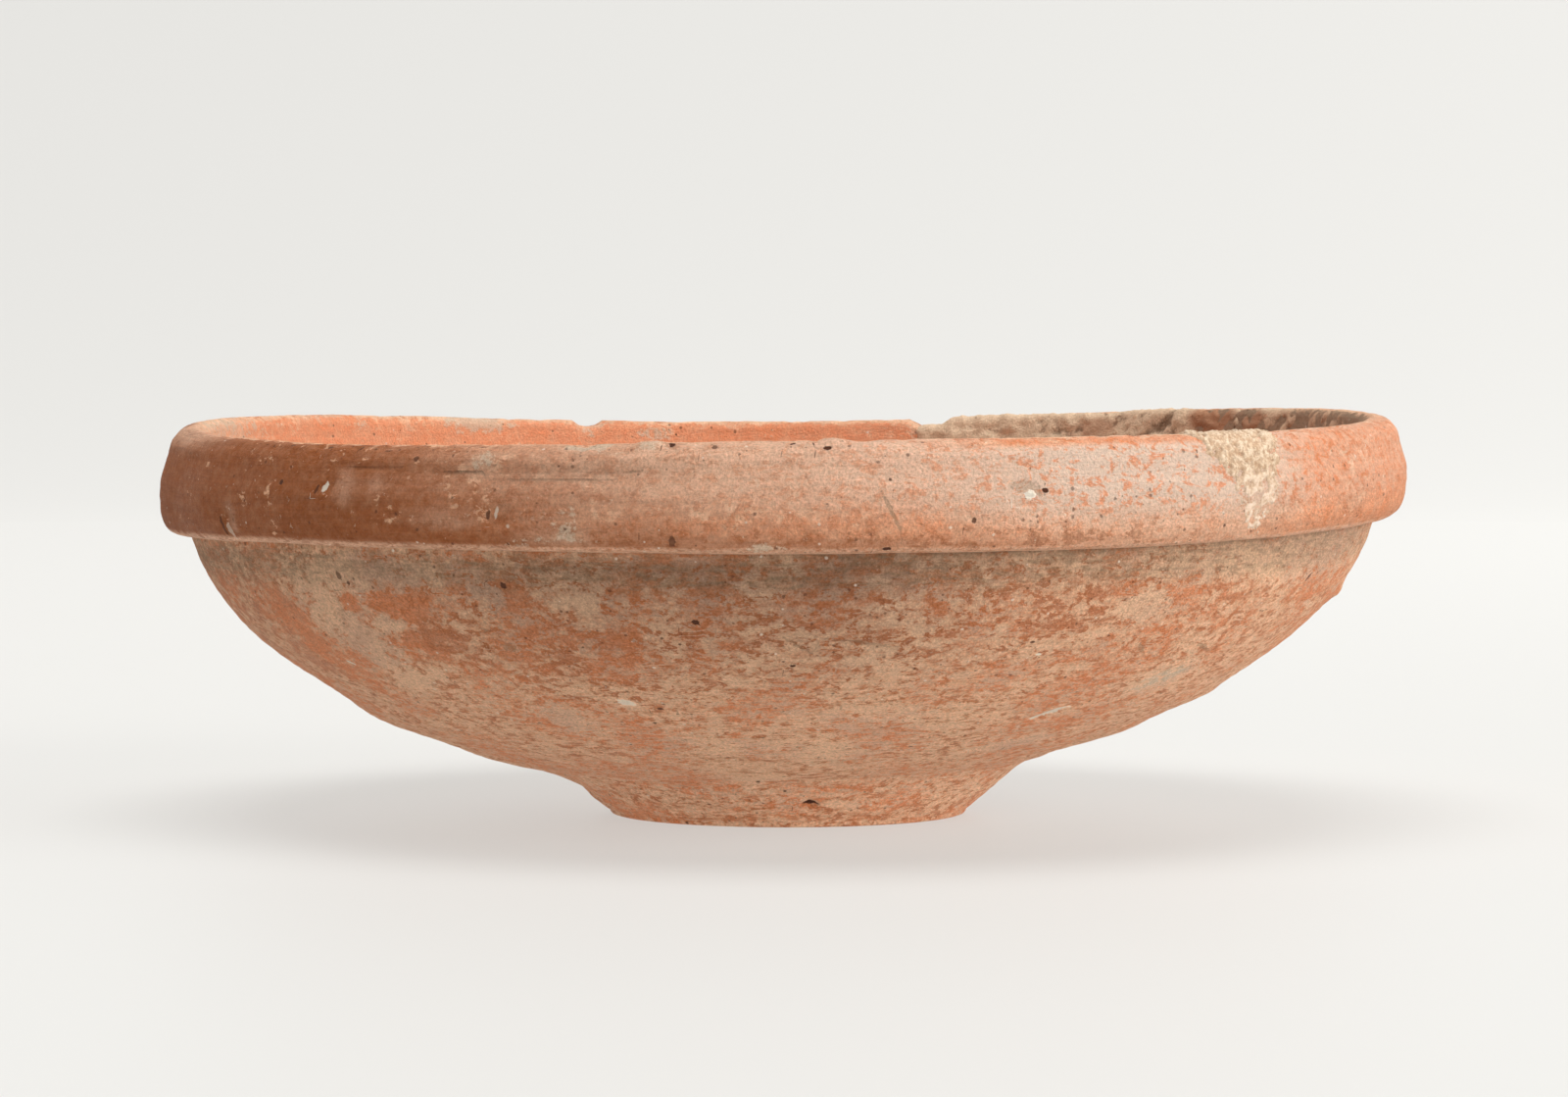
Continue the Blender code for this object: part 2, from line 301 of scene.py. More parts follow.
# Small marks that the shader draws: the amount is how strongly each one shows
LIME_GRAINS = marks(
    (21.3, 99.7, 1.5, 1.1, 1, -8),
    (-43.6, 100.9, 0.8, 1.5, 0.85, -24),
    (-25, 97.9, 0.5, 1.4, 0.6, -10),
    (36.1, 58.6, 5.2, 1.3, 0.85, 42),
    (33.4, 48.4, 2.6, 1, 0.8, 30),
    (-18.6, 65.3, 2.2, 1.5, 0.75, -20),
    (-58.4, 94.6, 0.9, 2.6, 0.38, 22),
    (27, 73.9, 0.9, 0.5, 0.9),
    (-54, 72.7, 1.6, 0.4, 0.8, -30),
)
DARK_PITS_AND_SHADE = marks(
    (-49.6, 101.2, 0.6, 0.8, 1),
    (-30.8, 103, 1.2, 0.5, 1, 12),
    (-10.6, 95.8, 1.1, 0.7, 1, -20),
    (-9.3, 94.6, 0.9, 1.6, 0.7),
    (8.8, 93.5, 1.2, 0.6, 1),
    (-9.8, 107, 0.8, 0.6, 1),
    (0.7, 106.5, 0.8, 0.4, 1, 30),
    (3.7, 105.6, 0.9, 0.5, 1),
    (-6, 106, 0.7, 0.7, 0.8),
    (22.6, 100.2, 0.9, 0.6, 1, -20),
    (16.2, 96.9, 0.6, 0.6, 0.9),
    (-8.3, 81.1, 1, 0.7, 1),
    (0.8, 73.3, 0.8, 0.5, 1, 20),
    (-14.9, 63.7, 0.8, 0.5, 0.9),
    (5.8, 28.2, 2, 0.9, 1),
    (25.5, 76.3, 0.8, 0.4, 0.9),
    (62.2, 83.9, 1.3, 0.5, 0.9, 60),
    (-45.8, 86.7, 0.8, 1, 0.7),
    (-26.4, 86.1, 1, 0.7, 0.9, -40),
    # Painted shade in the grooves along the collar
    (-21.8, 103.1, 26, 0.22, 0.3),
    (-20, 102.1, 14, 0.2, 0.25),
    (-37, 103.5, 12, 0.22, 0.25),
    # Painted shade under the lower edge of the collar
    (-8, 91.9, 12, 0.7, 0.35),
    (-18.4, 91.8, 5, 0.8, 0.55),
    (-45, 106.4, 1.8, 0.5, 0.8),
    (-41, 106.2, 1.4, 0.6, 0.7, 20),
    (-37.4, 106, 1.2, 0.5, 0.6),
    (-50.4, 106.6, 1, 0.6, 0.7),
    (-33.6, 104.6, 0.8, 0.8, 0.7),
    # Painted shadows beside three lime grains
    (-44.5, 100.5, 0.5, 1.3, 0.8, -24),
    (-25.7, 97.7, 0.4, 1.2, 0.8, -10),
    (-59.3, 95.2, 0.5, 2.4, 0.8, 22),
)
GREY_SCRATCHES_AND_SHADE = marks(
    # Painted shade in the hollow above a lime grain
    (21.2, 100.5, 3.8, 1.7, 0.5, -10),
    (9, 98.2, 0.5, 5.4, 0.8, 28),
    # Painted shade in the grooves along the collar
    (-21.8, 103, 25, 0.5, 0.55),
    (-20, 102, 14, 0.4, 0.4),
    (1.4, 76.9, 4.6, 0.5, 0.6, -42),
    (7.6, 77.3, 8.2, 0.6, 0.6, -12),
    (-30, 78.4, 1.4, 2.8, 0.8, 10),
    (-28.4, 76.8, 1.8, 1.4, 0.6),
    (40.1, 73.9, 2.6, 0.8, 0.7, -50),
    (50.6, 73, 4.2, 0.8, 0.7, -24),
)

# How far round a small mark the mesh keeps its coordinates, in mm, and what they are
# where no mark is near
MARK_MARGIN = 1.5
FAR_AWAY = 9.0

# The two crusts: the stretch of turn and of run that each may cover, in degrees and mm,
# and how far apart its points are, in mm
LIME_REACH = (36.5, 52.5, 92.5, 110.5)
SOIL_REACH = (84.0, 168.5, 106.0, 127.0)
LIME_SPACING = 0.17
SOIL_SPACING = 0.36

# The left and right edges of the lime crust, as pairs of run and turn
LIME_LEFT_EDGE = ((94, 45.4), (97, 43.8), (101, 42), (105.5, 39.2), (110, 38.4))
LIME_RIGHT_EDGE = ((93.5, 46.2), (95, 47.2), (101, 48.6), (106, 49.7), (110, 50.2))

# How thick the soil is round the inside of the lip, in mm, and where it is rusty
SOIL_THICKNESS = (
    (84, -0.5), (98, -0.15), (112, -0.05), (122, 0), (131, 0.15), (133, 0.45), (139, 0.45), (142, 0.1),
    (147, 0.15), (150, 0.45), (160, 0.5), (164.8, 0.3), (166.4, -0.6), (168.5, -0.8),
)
RUST_SPOTS = marks(
    (104, 110, 34, 9, 0.55),
    (128, 110.4, 9, 6, 1),
    (121.5, 110.8, 5, 4, 0.9),
    (144, 111.5, 6, 3, 0.6),
)

# How far a crust's hidden side lies inside the wall, and the least that its edge sinks
CRUST_ROOT = 0.35
CRUST_EDGE_SINK = 0.12


# What a user can change

LengthProperty = partial(FloatProperty, unit="LENGTH", precision=5)
PowerProperty = partial(FloatProperty, subtype="POWER")
ColourProperty = partial(FloatVectorProperty, subtype="COLOR", min=0.0, max=1.0)


class BowlSizes(bpy.types.PropertyGroup):
    """The sizes of the bowl."""

    rim_radius: LengthProperty(
        name="Rim radius", default=(HIGHEST.y - LOWEST.y) / 2 + COLLAR_SETBACK,
        description="Radius of the collar's square corner, just outside its rounded face",
    )
    rim_height: LengthProperty(
        name="Rim height", default=HIGHEST.z - LIP_RISE,
        description="Height of the lip before the pot warped",
    )
    collar_height: LengthProperty(
        name="Collar height", default=0.0128, description="From the collar's lower edge up to the lip",
    )
    collar_overhang: LengthProperty(
        name="Collar overhang", default=0.0044,
        description="How far the collar stands out from the top of the wall",
    )
    wall_thickness: LengthProperty(
        name="Wall thickness", default=0.0047, description="Thickness of the wall below the collar",
    )
    floor_thickness: LengthProperty(
        name="Floor thickness", default=0.0052,
        description="Thickness of the floor over the foot's recess",
    )
    foot_radius: LengthProperty(
        name="Foot radius", default=0.0231, description="Radius of the foot where it stands on the table",
    )
    foot_top_radius: LengthProperty(
        name="Foot top radius", default=0.0320, description="Radius where the foot runs into the wall",
    )
    foot_height: LengthProperty(
        name="Foot height", default=0.0068, description="Height of the foot below the wall",
    )
    points_around: IntProperty(
        name="Points around", default=512, min=64, max=512,
        description="Points in each turn of the surface near the rim",
    )


class FinishColours(bpy.types.PropertyGroup):
    """The colours of the clay, its slip and what lies on them."""

    slip: ColourProperty(
        name="Red slip", default=(0.72, 0.222, 0.076), description="The fired red coat where it is sound",
    )
    slip_brown: ColourProperty(
        name="Browned slip", default=(0.262, 0.076, 0.021),
        description="The red coat where it is darker and browner",
    )
    slip_inside: ColourProperty(
        name="Inner slip", default=(0.78, 0.265, 0.115),
        description="The brighter and cleaner coat inside the bowl",
    )
    clay: ColourProperty(
        name="Bare clay", default=(0.86, 0.525, 0.325),
        description="The pale clay where the coat has worn away",
    )
    film: ColourProperty(
        name="Milky film", default=(0.70, 0.415, 0.272),
        description="The thin brownish deposit over the coat",
    )
    chalk: ColourProperty(
        name="Chalky film", default=(0.69, 0.520, 0.405),
        description="The pinker and whiter deposit at the right of the front",
    )
    # The grime colour also paints the shade in the hollow under the collar
    grime: ColourProperty(
        name="Grime", default=(0.31, 0.206, 0.123),
        description="The grey-brown dirt in the hollow under the collar",
    )
    lime: ColourProperty(
        name="Lime crust", default=(0.63, 0.495, 0.360), description="The cream crust on the lip",
    )
    # Also paints the shade in the hollows between the crumbs
    lime_dark_and_shade: ColourProperty(
        name="Crust in the hollows", default=(0.42, 0.275, 0.170),
        description="The browner crust between the crumbs",
    )
    white: ColourProperty(
        name="Lime grains", default=(0.90, 0.80, 0.66), description="The white grains in the clay",
    )
    soil: ColourProperty(
        name="Soil", default=(0.60, 0.430, 0.290),
        description="The light lumps of soil stuck inside the lip",
    )
    # Also paints the shade in the hollows between the soil's lumps
    soil_dark_and_shade: ColourProperty(
        name="Soil in the hollows", default=(0.21, 0.133, 0.082),
        description="The darker soil between the lumps",
    )
    # The pits' colour also paints shade beside grains, in grooves and under the collar's edge
    pit: ColourProperty(
        name="Pits", default=(0.10, 0.036, 0.018), description="The dark bottoms of the pits",
    )


class StudioSettings(bpy.types.PropertyGroup):
    """The camera and the lights."""

    camera_distance: LengthProperty(
        name="Camera distance", default=0.8,
        description="From the middle of the bowl forwards to the camera",
    )
    camera_height: LengthProperty(
        name="Camera height", default=0.0718, description="Height of the camera above the floor",
    )
    camera_pitch: FloatProperty(
        name="Camera pitch", default=math.radians(2.70), subtype="ANGLE",
        description="How far the camera looks down",
    )
    camera_lens: FloatProperty(
        name="Camera lens", default=142.3, subtype="DISTANCE_CAMERA",
        description="Focal length in millimetres",
    )
    key_power: PowerProperty(
        name="Key light", default=15.3,
        description="Power of the large soft light at the right of the front",
    )
    fill_power: PowerProperty(
        name="Fill light", default=3.5, description="Power of the weak soft light at the front",
    )
    bounce_power: PowerProperty(
        name="Bounced light", default=1.5,
        description="Power of the weak low light at the left of the front",
    )
    top_power: PowerProperty(
        name="Top light", default=43.0, description="Power of the soft light overhead",
    )
    backdrop_power: PowerProperty(
        name="Backdrop light", default=19.0, description="Power of the light on the backdrop",
    )
    room_dim: FloatProperty(
        name="Dim side", default=0.10, min=0.0, description="Brightness of the room in front of the bowl",
    )
    room_bright: FloatProperty(
        name="Bright side", default=0.50, min=0.0, description="Brightness of the room behind the bowl",
    )
    floor_glow: FloatProperty(
        name="Floor glow", default=0.495, min=0.0, description="How strongly the floor is lit from below",
    )
    floor_colour: ColourProperty(
        name="Floor colour", default=(0.20, 0.198, 0.19),
        description="Colour of the pale floor and the backdrop",
    )


# Outline of the turned pot

Stretch = namedtuple("Stretch", "points spacing trimmed", defaults=[False])
Outline = namedtuple("Outline", "radius height run out trimmed")


def bezier(start, start_pull, end_pull, end, steps=80):
    """Points of a cubic curve, in the plane of the outline."""
    t = np.linspace(0.0, 1.0, steps + 1)[:, None]
    s = 1.0 - t
    return start * s**3 + start_pull * (3 * t * s**2) + end_pull * (3 * t**2 * s) + end * t**3


def quarter_round(start, corner, end, steps=20):
    """Points of an elliptical quarter from start to end, inside their square corner."""
    angle = np.linspace(0.0, math.pi / 2, steps + 1)[:, None]
    return corner + (start - corner) * (1.0 - np.sin(angle)) + (end - corner) * (1.0 - np.cos(angle))


def direction(slope):
    """A unit step outwards and up, at a slope above the table."""
    angle = math.radians(slope)
    return np.array((math.cos(angle), math.sin(angle)))


def heading(points):
    """The unit direction of a line at each of its points."""
    along = np.gradient(points, axis=0)
    return along / np.linalg.norm(along, axis=1)[:, None]


def run_along(points):
    """How far along its line each point is."""
    steps = np.linalg.norm(np.diff(points, axis=0), axis=1)
    return np.concatenate([[0.0], np.cumsum(steps)])


def at(radius, height):
    return np.array((radius, height))


def underside_stretches(sizes):
    """The recess under the foot, its ring and the foot's rounded edge."""
    recess_end = at(sizes.foot_radius - FOOT_RING_WIDTH, 0.0)
    recess_start = at(recess_end[0] - FOOT_RECESS_SLOPE_WIDTH, FOOT_RECESS_DEPTH)
    ring_end = at(sizes.foot_radius - FOOT_EDGE_ROUNDING, 0.0)
    edge = at(sizes.foot_radius, FOOT_EDGE_ROUNDING)
    return [
        Stretch([at(0.0, FOOT_RECESS_DEPTH), recess_start], 1.8 * MM),
        Stretch([recess_start, recess_end], 0.8 * MM),
        Stretch([recess_end, ring_end], 1.0 * MM),
        Stretch(quarter_round(ring_end, at(sizes.foot_radius, 0.0), edge), 0.32 * MM),
    ]


def wall_ends(sizes):
    """Where the outer wall leaves the foot and where it meets the collar."""
    low = at(sizes.foot_top_radius, sizes.foot_height)
    high = at(sizes.rim_radius - sizes.collar_overhang, sizes.rim_height - sizes.collar_height)
    return low, high


def wall_curve(sizes):
    low, high = wall_ends(sizes)
    low_pull = low + direction(WALL_SLOPE_AT_FOOT) * WALL_PULL_AT_FOOT
    high_pull = high - direction(WALL_SLOPE_AT_COLLAR) * WALL_PULL_AT_COLLAR
    return bezier(low, low_pull, high_pull, high, steps=130)


def body_stretches(sizes):
    """The foot's tapering side and the outer wall."""
    edge = at(sizes.foot_radius, FOOT_EDGE_ROUNDING)
    low, _ = wall_ends(sizes)
    edge_pull = edge + (low - edge) / np.linalg.norm(low - edge) * FLANK_PULL
    flank = bezier(edge, edge_pull, low - direction(WALL_SLOPE_AT_FOOT) * HOLLOW_PULL, low)
    return [Stretch(flank, 0.72 * MM, True), Stretch(wall_curve(sizes), 0.70 * MM, True)]


def collar_stretches(sizes):
    """The collar's underside, its outer face and the lip, round to the crest."""
    _, start = wall_ends(sizes)
    edge_in = at(sizes.rim_radius - COLLAR_EDGE_ROUNDING, start[1])
    face_low = at(sizes.rim_radius - COLLAR_BULGE, start[1] + COLLAR_EDGE_ROUNDING)
    face_high = at(sizes.rim_radius - COLLAR_LEAN, sizes.rim_height - LIP_OUTER_ROUNDING)
    crest = at(face_high[0] - LIP_OUTER_ROUNDING, sizes.rim_height)
    t = np.linspace(0.0, 1.0, 25)[:, None]
    face = face_low + (face_high - face_low) * t + np.sin(math.pi * t) * at(COLLAR_BULGE, 0.0)
    return [
        Stretch([start, edge_in], 0.65 * MM),
        Stretch(quarter_round(edge_in, at(face_low[0], edge_in[1]), face_low), 0.45 * MM),
        Stretch(face, 0.55 * MM),
        Stretch(quarter_round(face_high, at(face_high[0], crest[1]), crest), 0.45 * MM),
    ]


def inside_stretches(sizes, crest):
    """From the crest of the lip down the inside to the middle of the floor."""
    lip_in = crest - LIP_INNER_ROUNDING
    lip = quarter_round(crest, at(lip_in[0], crest[1]), lip_in)
    wall = wall_curve(sizes)
    along = heading(wall)
    inwards = np.stack([-along[:, 1], along[:, 0]], axis=1)
    inner = (wall + inwards * sizes.wall_thickness)[round(len(wall) * FLOOR_START):][::-1]
    last = inner[-1]
    down = (last - inner[-6]) / np.linalg.norm(last - inner[-6])
    middle = at(0.0, FOOT_RECESS_DEPTH + sizes.floor_thickness)
    wall_pull = last + down * (last[0] * FLOOR_CURVE_AT_WALL)
    floor = bezier(last, wall_pull, at(last[0] * FLOOR_CURVE_AT_MIDDLE, middle[1]), middle)
    return [
        Stretch(lip, 0.40 * MM),
        Stretch([lip_in, inner[0]], 0.75 * MM),
        Stretch(inner, 1.1 * MM),
        Stretch(floor, 1.5 * MM),
    ]


def evenly(points, spacing):
    """The points of a line, moved to even steps no longer than the spacing."""
    points = np.array(points)
    run = run_along(points)
    count = max(int(math.ceil(run[-1] / spacing)), 1)
    places = np.linspace(0.0, run[-1], count + 1)
    return np.stack([np.interp(places, run, column) for column in points.T], axis=1)


def turned_outline(sizes):
    """The outline of one half of the bowl, from the underside round to the floor."""
    stretches = underside_stretches(sizes) + body_stretches(sizes) + collar_stretches(sizes)
    stretches += inside_stretches(sizes, stretches[-1].points[-1])
    points = [stretches[0].points[:1]]
    trimmed = [[False]]
    for stretch in stretches:
        line = evenly(stretch.points, stretch.spacing)[1:]
        points.append(line)
        trimmed.append([stretch.trimmed] * len(line))
    points = np.concatenate(points)
    along = heading(points)
    out = np.stack([along[:, 1], -along[:, 0]], axis=1)
    return Outline(points[:, 0], points[:, 1], run_along(points) / MM, out, np.concatenate(trimmed))


# How the pot has warped

def ease(t):
    t = np.clip(t, 0.0, 1.0)
    return t * t * (3.0 - 2.0 * t)


def up_collar(height, sizes):
    """How far up the collar a height is: 0 at its lower edge and 1 at the lip."""
    return 1.0 - (sizes.rim_height - height) / sizes.collar_height


def wave(waves, azimuth):
    return sum(rise * np.cos(count * (azimuth - math.radians(top))) for count, top, rise in waves)


def lift(azimuth, height, sizes):
    """How far the waves in the lip and in the collar's edge move a point up."""
    over_collar = up_collar(height, sizes)
    edge = wave(COLLAR_EDGE_WAVES, azimuth)
    if over_collar < 0.0:
        return edge * ease(1.0 + over_collar)
    return edge + (wave(LIP_WAVES, azimuth) - edge) * over_collar


def turn_between(a, b):
    """The smaller angle between two azimuths, in radians."""
    return abs((a - b + math.pi) % (2 * math.pi) - math.pi)


def wall_push(azimuth, height):
    """How far the trimming flats and lumps move the outer wall outwards."""
    push = 0.0
    for mark_azimuth, mark_height, spread, rise, amount in WALL_MARKS:
        across = turn_between(azimuth, math.radians(mark_azimuth)) / math.radians(spread)
        up = (height - mark_height) / rise
        push = push + amount * np.exp(-(across**2) - up**2)
    return push


def chip_drop(azimuth, height, sizes):
    """How far the chips have broken a point of the lip down."""
    near_crest = ease(1.0 - (sizes.rim_height - height) / CHIP_REACH)
    drop = 0.0
    for chip_azimuth, width, depth in LIP_CHIPS:
        along = turn_between(azimuth, math.radians(chip_azimuth)) * sizes.rim_radius / (width / 2)
        drop = drop + depth * near_crest * ease((1.0 - along) / (1.0 - CHIP_FLOOR))
    return drop


def settled(radius, height, azimuth, trimmed, sizes):
    """Where points of one turn of the outline are on the warped pot."""
    over_foot = min(height / sizes.foot_height, 1.0)
    over_collar = float(np.clip(up_collar(height, sizes), 0.0, 1.0))
    tilt = math.radians(BODY_TILT + (RIM_TILT - BODY_TILT) * over_collar) * over_foot
    raised = height + lift(azimuth, height, sizes) - chip_drop(azimuth, height, sizes)
    if trimmed:
        radius = radius + wall_push(azimuth, height)
    across = radius * np.cos(azimuth)
    x = across * math.cos(tilt) - raised * math.sin(tilt)
    z = raised * math.cos(tilt) + across * math.sin(tilt)
    return np.stack([x, radius * np.sin(azimuth), z], axis=1)


# Relief and wear, worked out for every point of the surface

Place = namedtuple("Place", "turn run radius co")

# Where something starts along the outline and over how many mm it comes in
ONTO_COLLAR = (90.3, 1.2)
ONTO_INSIDE = (107.8, 2.0)
ONTO_UPPER_WALL = (62.0, 14.0)
ONTO_LOW_FACE = (92.3, 0.9)
ONTO_TOP_FACE = (104.6, 1.6)
ONTO_FLOOR = (116.0, 28.0)
WANDER_START = (112.0, 26.0)
CHALK_START = (95.0, 5.0)
GRIME_AND_SHADE_START = (82.0, 6.0)
SHADOW_AND_DUST_START = (58.0, 30.0)
LIT_START = (88.5, 2.5)
FILM_START = 93.5

# Where something ends along the outline and over how many mm it goes out
COLLAR_END = (109.0, 2.0)
LOW_FACE_END = (98.5, 3.5)
SHADE_AND_DIRT_END = (91.7, 0.8)
SOIL_END = (121.0, 28.0)

# The middle and the width of a narrow zone along the outline
FOOT_EDGE = (25.0, 2.4)
COLLAR_EDGE = (94.3, 1.0)
ROUGH_CREST = (107.6, 2.6)
WORN_CREST = (108.2, 1.3)

# How far the slow waves, the dents and the wheel lines move the surface, in mm
SLOW_WAVES = 0.10
DENTS = 0.045
WHEEL_LINES = 0.03

# Up to where the underside stays flat, and from where there are wheel lines
GROUND_END = 23.5
WHEEL_START = 24


def rising(value, start, over):
    """0 up to the start, and from there smoothly up to 1 over that distance."""
    return ease((value - start) / over)


def falling(value, end, over):
    """1 until that distance before the end, and from there smoothly down to 0."""
    return ease((end - value) / over)


def hump(value, middle, width):
    """1 in the middle of a zone, and smoothly less further from it."""
    return np.exp(-((value - middle) / width) ** 2)


def rough(co, size, seed, octaves=3, squash=(1.0, 1.0, 1.0)):
    """Smooth noise between about -1 and 1, for points in metres and a size in mm."""
    scale = np.array(squash) / (size * MM)
    shift = Vector((seed * 7.3, seed * 3.1, seed * 5.7))
    return np.array([noise.fractal(Vector(p) + shift, 0.8, 2.1, octaves) for p in co * scale])


def round_pot(pairs, turn):
    """A value that changes round the pot, from its pairs of turn and value."""
    return np.interp(turn, *zip(*pairs))


def wrapped(turn):
    """The same turn between -180 and 180 degrees."""
    return (turn + 180.0) % 360.0 - 180.0


def from_middle(mark, place):
    """How far points are across and up from the middle of a mark along its slant, in mm."""
    across = np.radians(wrapped(place.turn - mark.turn)) * place.radius / MM
    up = place.run - mark.run
    slant = math.radians(mark.slant)
    u = across * math.cos(slant) + up * math.sin(slant)
    v = up * math.cos(slant) - across * math.sin(slant)
    return u, v


def under_mark(mark, place, soft):
    """How much of a mark is on each point: 1 inside it, fading to 0 outside it."""
    u, v = from_middle(mark, place)
    far = np.hypot(u / (mark.width / 2), v / (mark.tall / 2))
    return ease((1.0 + soft - far) / (2 * soft))


def total_of(table, place, soft=0.35):
    return sum(mark.amount * under_mark(mark, place, soft) for mark in table)


def mark_coordinates(table, place):
    """For points near a small mark, how far across and up they are from its middle.

    The two distances are in half widths and half heights of the mark, and its strength
    comes third. A shader draws the mark from them, more sharply than points could.
    """
    result = np.tile((FAR_AWAY, FAR_AWAY, 0.0), (len(place.turn), 1))
    for mark in table:
        u, v = from_middle(mark, place)
        near = (abs(u) < mark.width / 2 + MARK_MARGIN) & (abs(v) < mark.tall / 2 + MARK_MARGIN)
        strength = np.full(len(u), mark.amount)
        result[near] = np.stack([2 * u / mark.width, 2 * v / mark.tall, strength], axis=1)[near]
    return result


def relief(place):
    """How far each point stands out from the turned outline, in millimetres."""
    co = place.co
    run = place.run
    total = rough(co, 24.0, seed=1, squash=(1.0, 1.0, 2.0)) * SLOW_WAVES
    total = total + rough(co, 7.0, seed=2, squash=(0.6, 0.6, 1.0)) * DENTS
    total = total + WHEEL_LINES * np.sin(run * 2.9 + 1.4 * np.sin(run * 0.9)) * (run > WHEEL_START)
    # The crest of the lip is uneven and nicked, most of all where ROUGH_LIP says so
    nicks = rough(co, 3.2, seed=3)
    total = total + hump(run, *ROUGH_CREST) * (nicks * 0.10 - 0.22 * rising(nicks, 0.15, 0.5))
    total = total - total_of(ROUGH_LIP, place) * rising(rough(co, 2.2, seed=4), 0.0, 0.5)
    total = total + total_of(SCARS, place) * (1.0 + 0.5 * rough(co, 1.6, seed=5))
    return np.where(run < GROUND_END, 0.0, total)


def slip_left(place, inner_turn, on_collar, inside):
    """How much red slip is on each point."""
    run, turn = place.run, place.turn
    slip = round_pot(LOWER_SLIP, turn)
    slip = slip + (round_pot(UPPER_SLIP, turn) - slip) * rising(run, *ONTO_UPPER_WALL)
    slip = slip + total_of(SLIP_PATCHES, place, 0.7) - total_of(BARE_PATCHES, place, 0.7)
    slip = slip + 0.22 * hump(run, *FOOT_EDGE)
    face = round_pot(COLLAR_SLIP, turn) + total_of(EDGE_SLIP, place, 0.5)
    slip = slip + (face - slip) * on_collar
    # Inside, the slip varies round the lip and is evener down on the floor
    within = round_pot(INSIDE_SLIP, inner_turn)
    deep = 0.74 + 0.3 * rough(place.co, 16.0, seed=32)
    within = within + (deep - within) * rising(run, *ONTO_FLOOR)
    slip = slip + (within - slip) * inside
    return slip - 0.55 * hump(run, *WORN_CREST)


def film_left(place, on_collar, inside):
    """How much milky film is on each point."""
    run, turn = place.run, place.turn
    low = round_pot(LOW_FILM, turn)
    low = low + (1.0 - low) * rising(run, FILM_START, round_pot(FILM_RISE, turn))
    high = 1.0 - rising(run, *ONTO_TOP_FACE) * round_pot(BARE_TOP, turn)
    film = round_pot(COLLAR_FILM, turn) * on_collar * low * high
    film = film + total_of(FILM_AND_SHEEN_PATCHES, place, 0.8) * (1.0 - film)
    return film + 0.30 * (1.0 - on_collar) * (1.0 - inside) + 0.34 * inside


def wear_fields(place):
    """How much slip, film, dirt, painted shade, lime and soil is on each point, and how brown it is."""
    run, turn = place.run, place.turn
    on_collar = rising(run, *ONTO_COLLAR) * falling(run, *COLLAR_END)
    inside = rising(run, *ONTO_INSIDE)
    wander = rough(place.co, 26.0, seed=31)
    # Deep inside, the edges of the zones wander
    inner_turn = turn + 30.0 * wander * rising(run, *WANDER_START)
    # The collar is brown in its place and along its lower edge
    brown = round_pot(COLLAR_BROWN, turn) * on_collar
    edge = hump(run, *COLLAR_EDGE) * round_pot(EDGE_BROWN, turn)
    brown = brown + (1.0 - brown) * edge * on_collar
    low_face = rising(run, *ONTO_LOW_FACE) * falling(run, *LOW_FACE_END)
    below_collar = falling(run, *SHADE_AND_DIRT_END)
    # The grime and the painted shade are thickest in the hollow, and the wall's top is painted lighter
    # where the light catches it
    tucked = 1.0 - rising(run, *LIT_START) * round_pot(LIT_TOP, turn)
    grime = round_pot(GRIME_AND_SHADE, turn) * rising(run, *GRIME_AND_SHADE_START) * (0.7 + 0.3 * tucked)
    dust = round_pot(SHADOW_AND_DUST, turn) * rising(run, *SHADOW_AND_DUST_START) * (0.2 + 0.8 * tucked)
    soil = round_pot(INSIDE_SOIL, inner_turn) * inside
    return {
        "slip": slip_left(place, inner_turn, on_collar, inside),
        "film": film_left(place, on_collar, inside),
        "chalk": round_pot(COLLAR_CHALK, turn) * on_collar * rising(run, *CHALK_START),
        "brown": brown,
        "blotched": low_face * round_pot(BLOTCHES, turn),
        "grime": grime * below_collar,
        "dust": dust * below_collar,
        "lime": 0.65 * total_of(LIME_STAINS, place, 0.6),
        "soil": soil * (1.0 - 0.80 * rising(run + 14.0 * wander, *SOIL_END)),
        "inside": inside,
    }


# The meshes

Pot = namedtuple("Pot", "outline shift sizes")
Ring = namedtuple("Ring", "co out place")


def count_at(radius, sizes):
    """How many points a turn of that radius has."""
    halvings = sum(radius < limit for limit in HALVING_RADII)
    return max(sizes.points_around >> halvings, 8)


def all_round(count):
    return np.arange(count) * (2 * math.pi / count)


def bare_turn(outline, run, azimuth, sizes):
    """The points of one turn of the warped surface, before its relief."""
    radius = np.interp(run, outline.run, outline.radius)
    height = np.interp(run, outline.run, outline.height)
    trimmed = np.interp(run, outline.run, outline.trimmed) > 0.999
    return settled(radius, height, azimuth, trimmed, sizes)


def thrown_pot(sizes):
    """The outline, and how far the warped pot has to move to stand over the middle."""
    outline = turned_outline(sizes)
    turns = np.concatenate([bare_turn(outline, run, all_round(180), sizes) for run in outline.run])
    middle = (turns.max(axis=0) + turns.min(axis=0)) / 2
    return Pot(outline, np.array([-middle[0], -middle[1], 0.0]), sizes)


def surface_turn(pot, run, azimuth):
    """One turn of the finished surface: its points, the way each faces and its place."""
    outline = pot.outline
    co = bare_turn(outline, run, azimuth, pot.sizes)
    radius = float(np.interp(run, outline.run, outline.radius))
    sideways, up = (float(np.interp(run, outline.run, column)) for column in outline.out.T)
    flat = np.full(len(azimuth), up)
    out = np.stack([sideways * np.cos(azimuth), sideways * np.sin(azimuth), flat], axis=1)
    place = Place(wrapped(np.degrees(azimuth) + 90.0), np.full(len(azimuth), run), radius, co)
    return Ring(co + out * relief(place)[:, None] * MM + pot.shift, out, place)


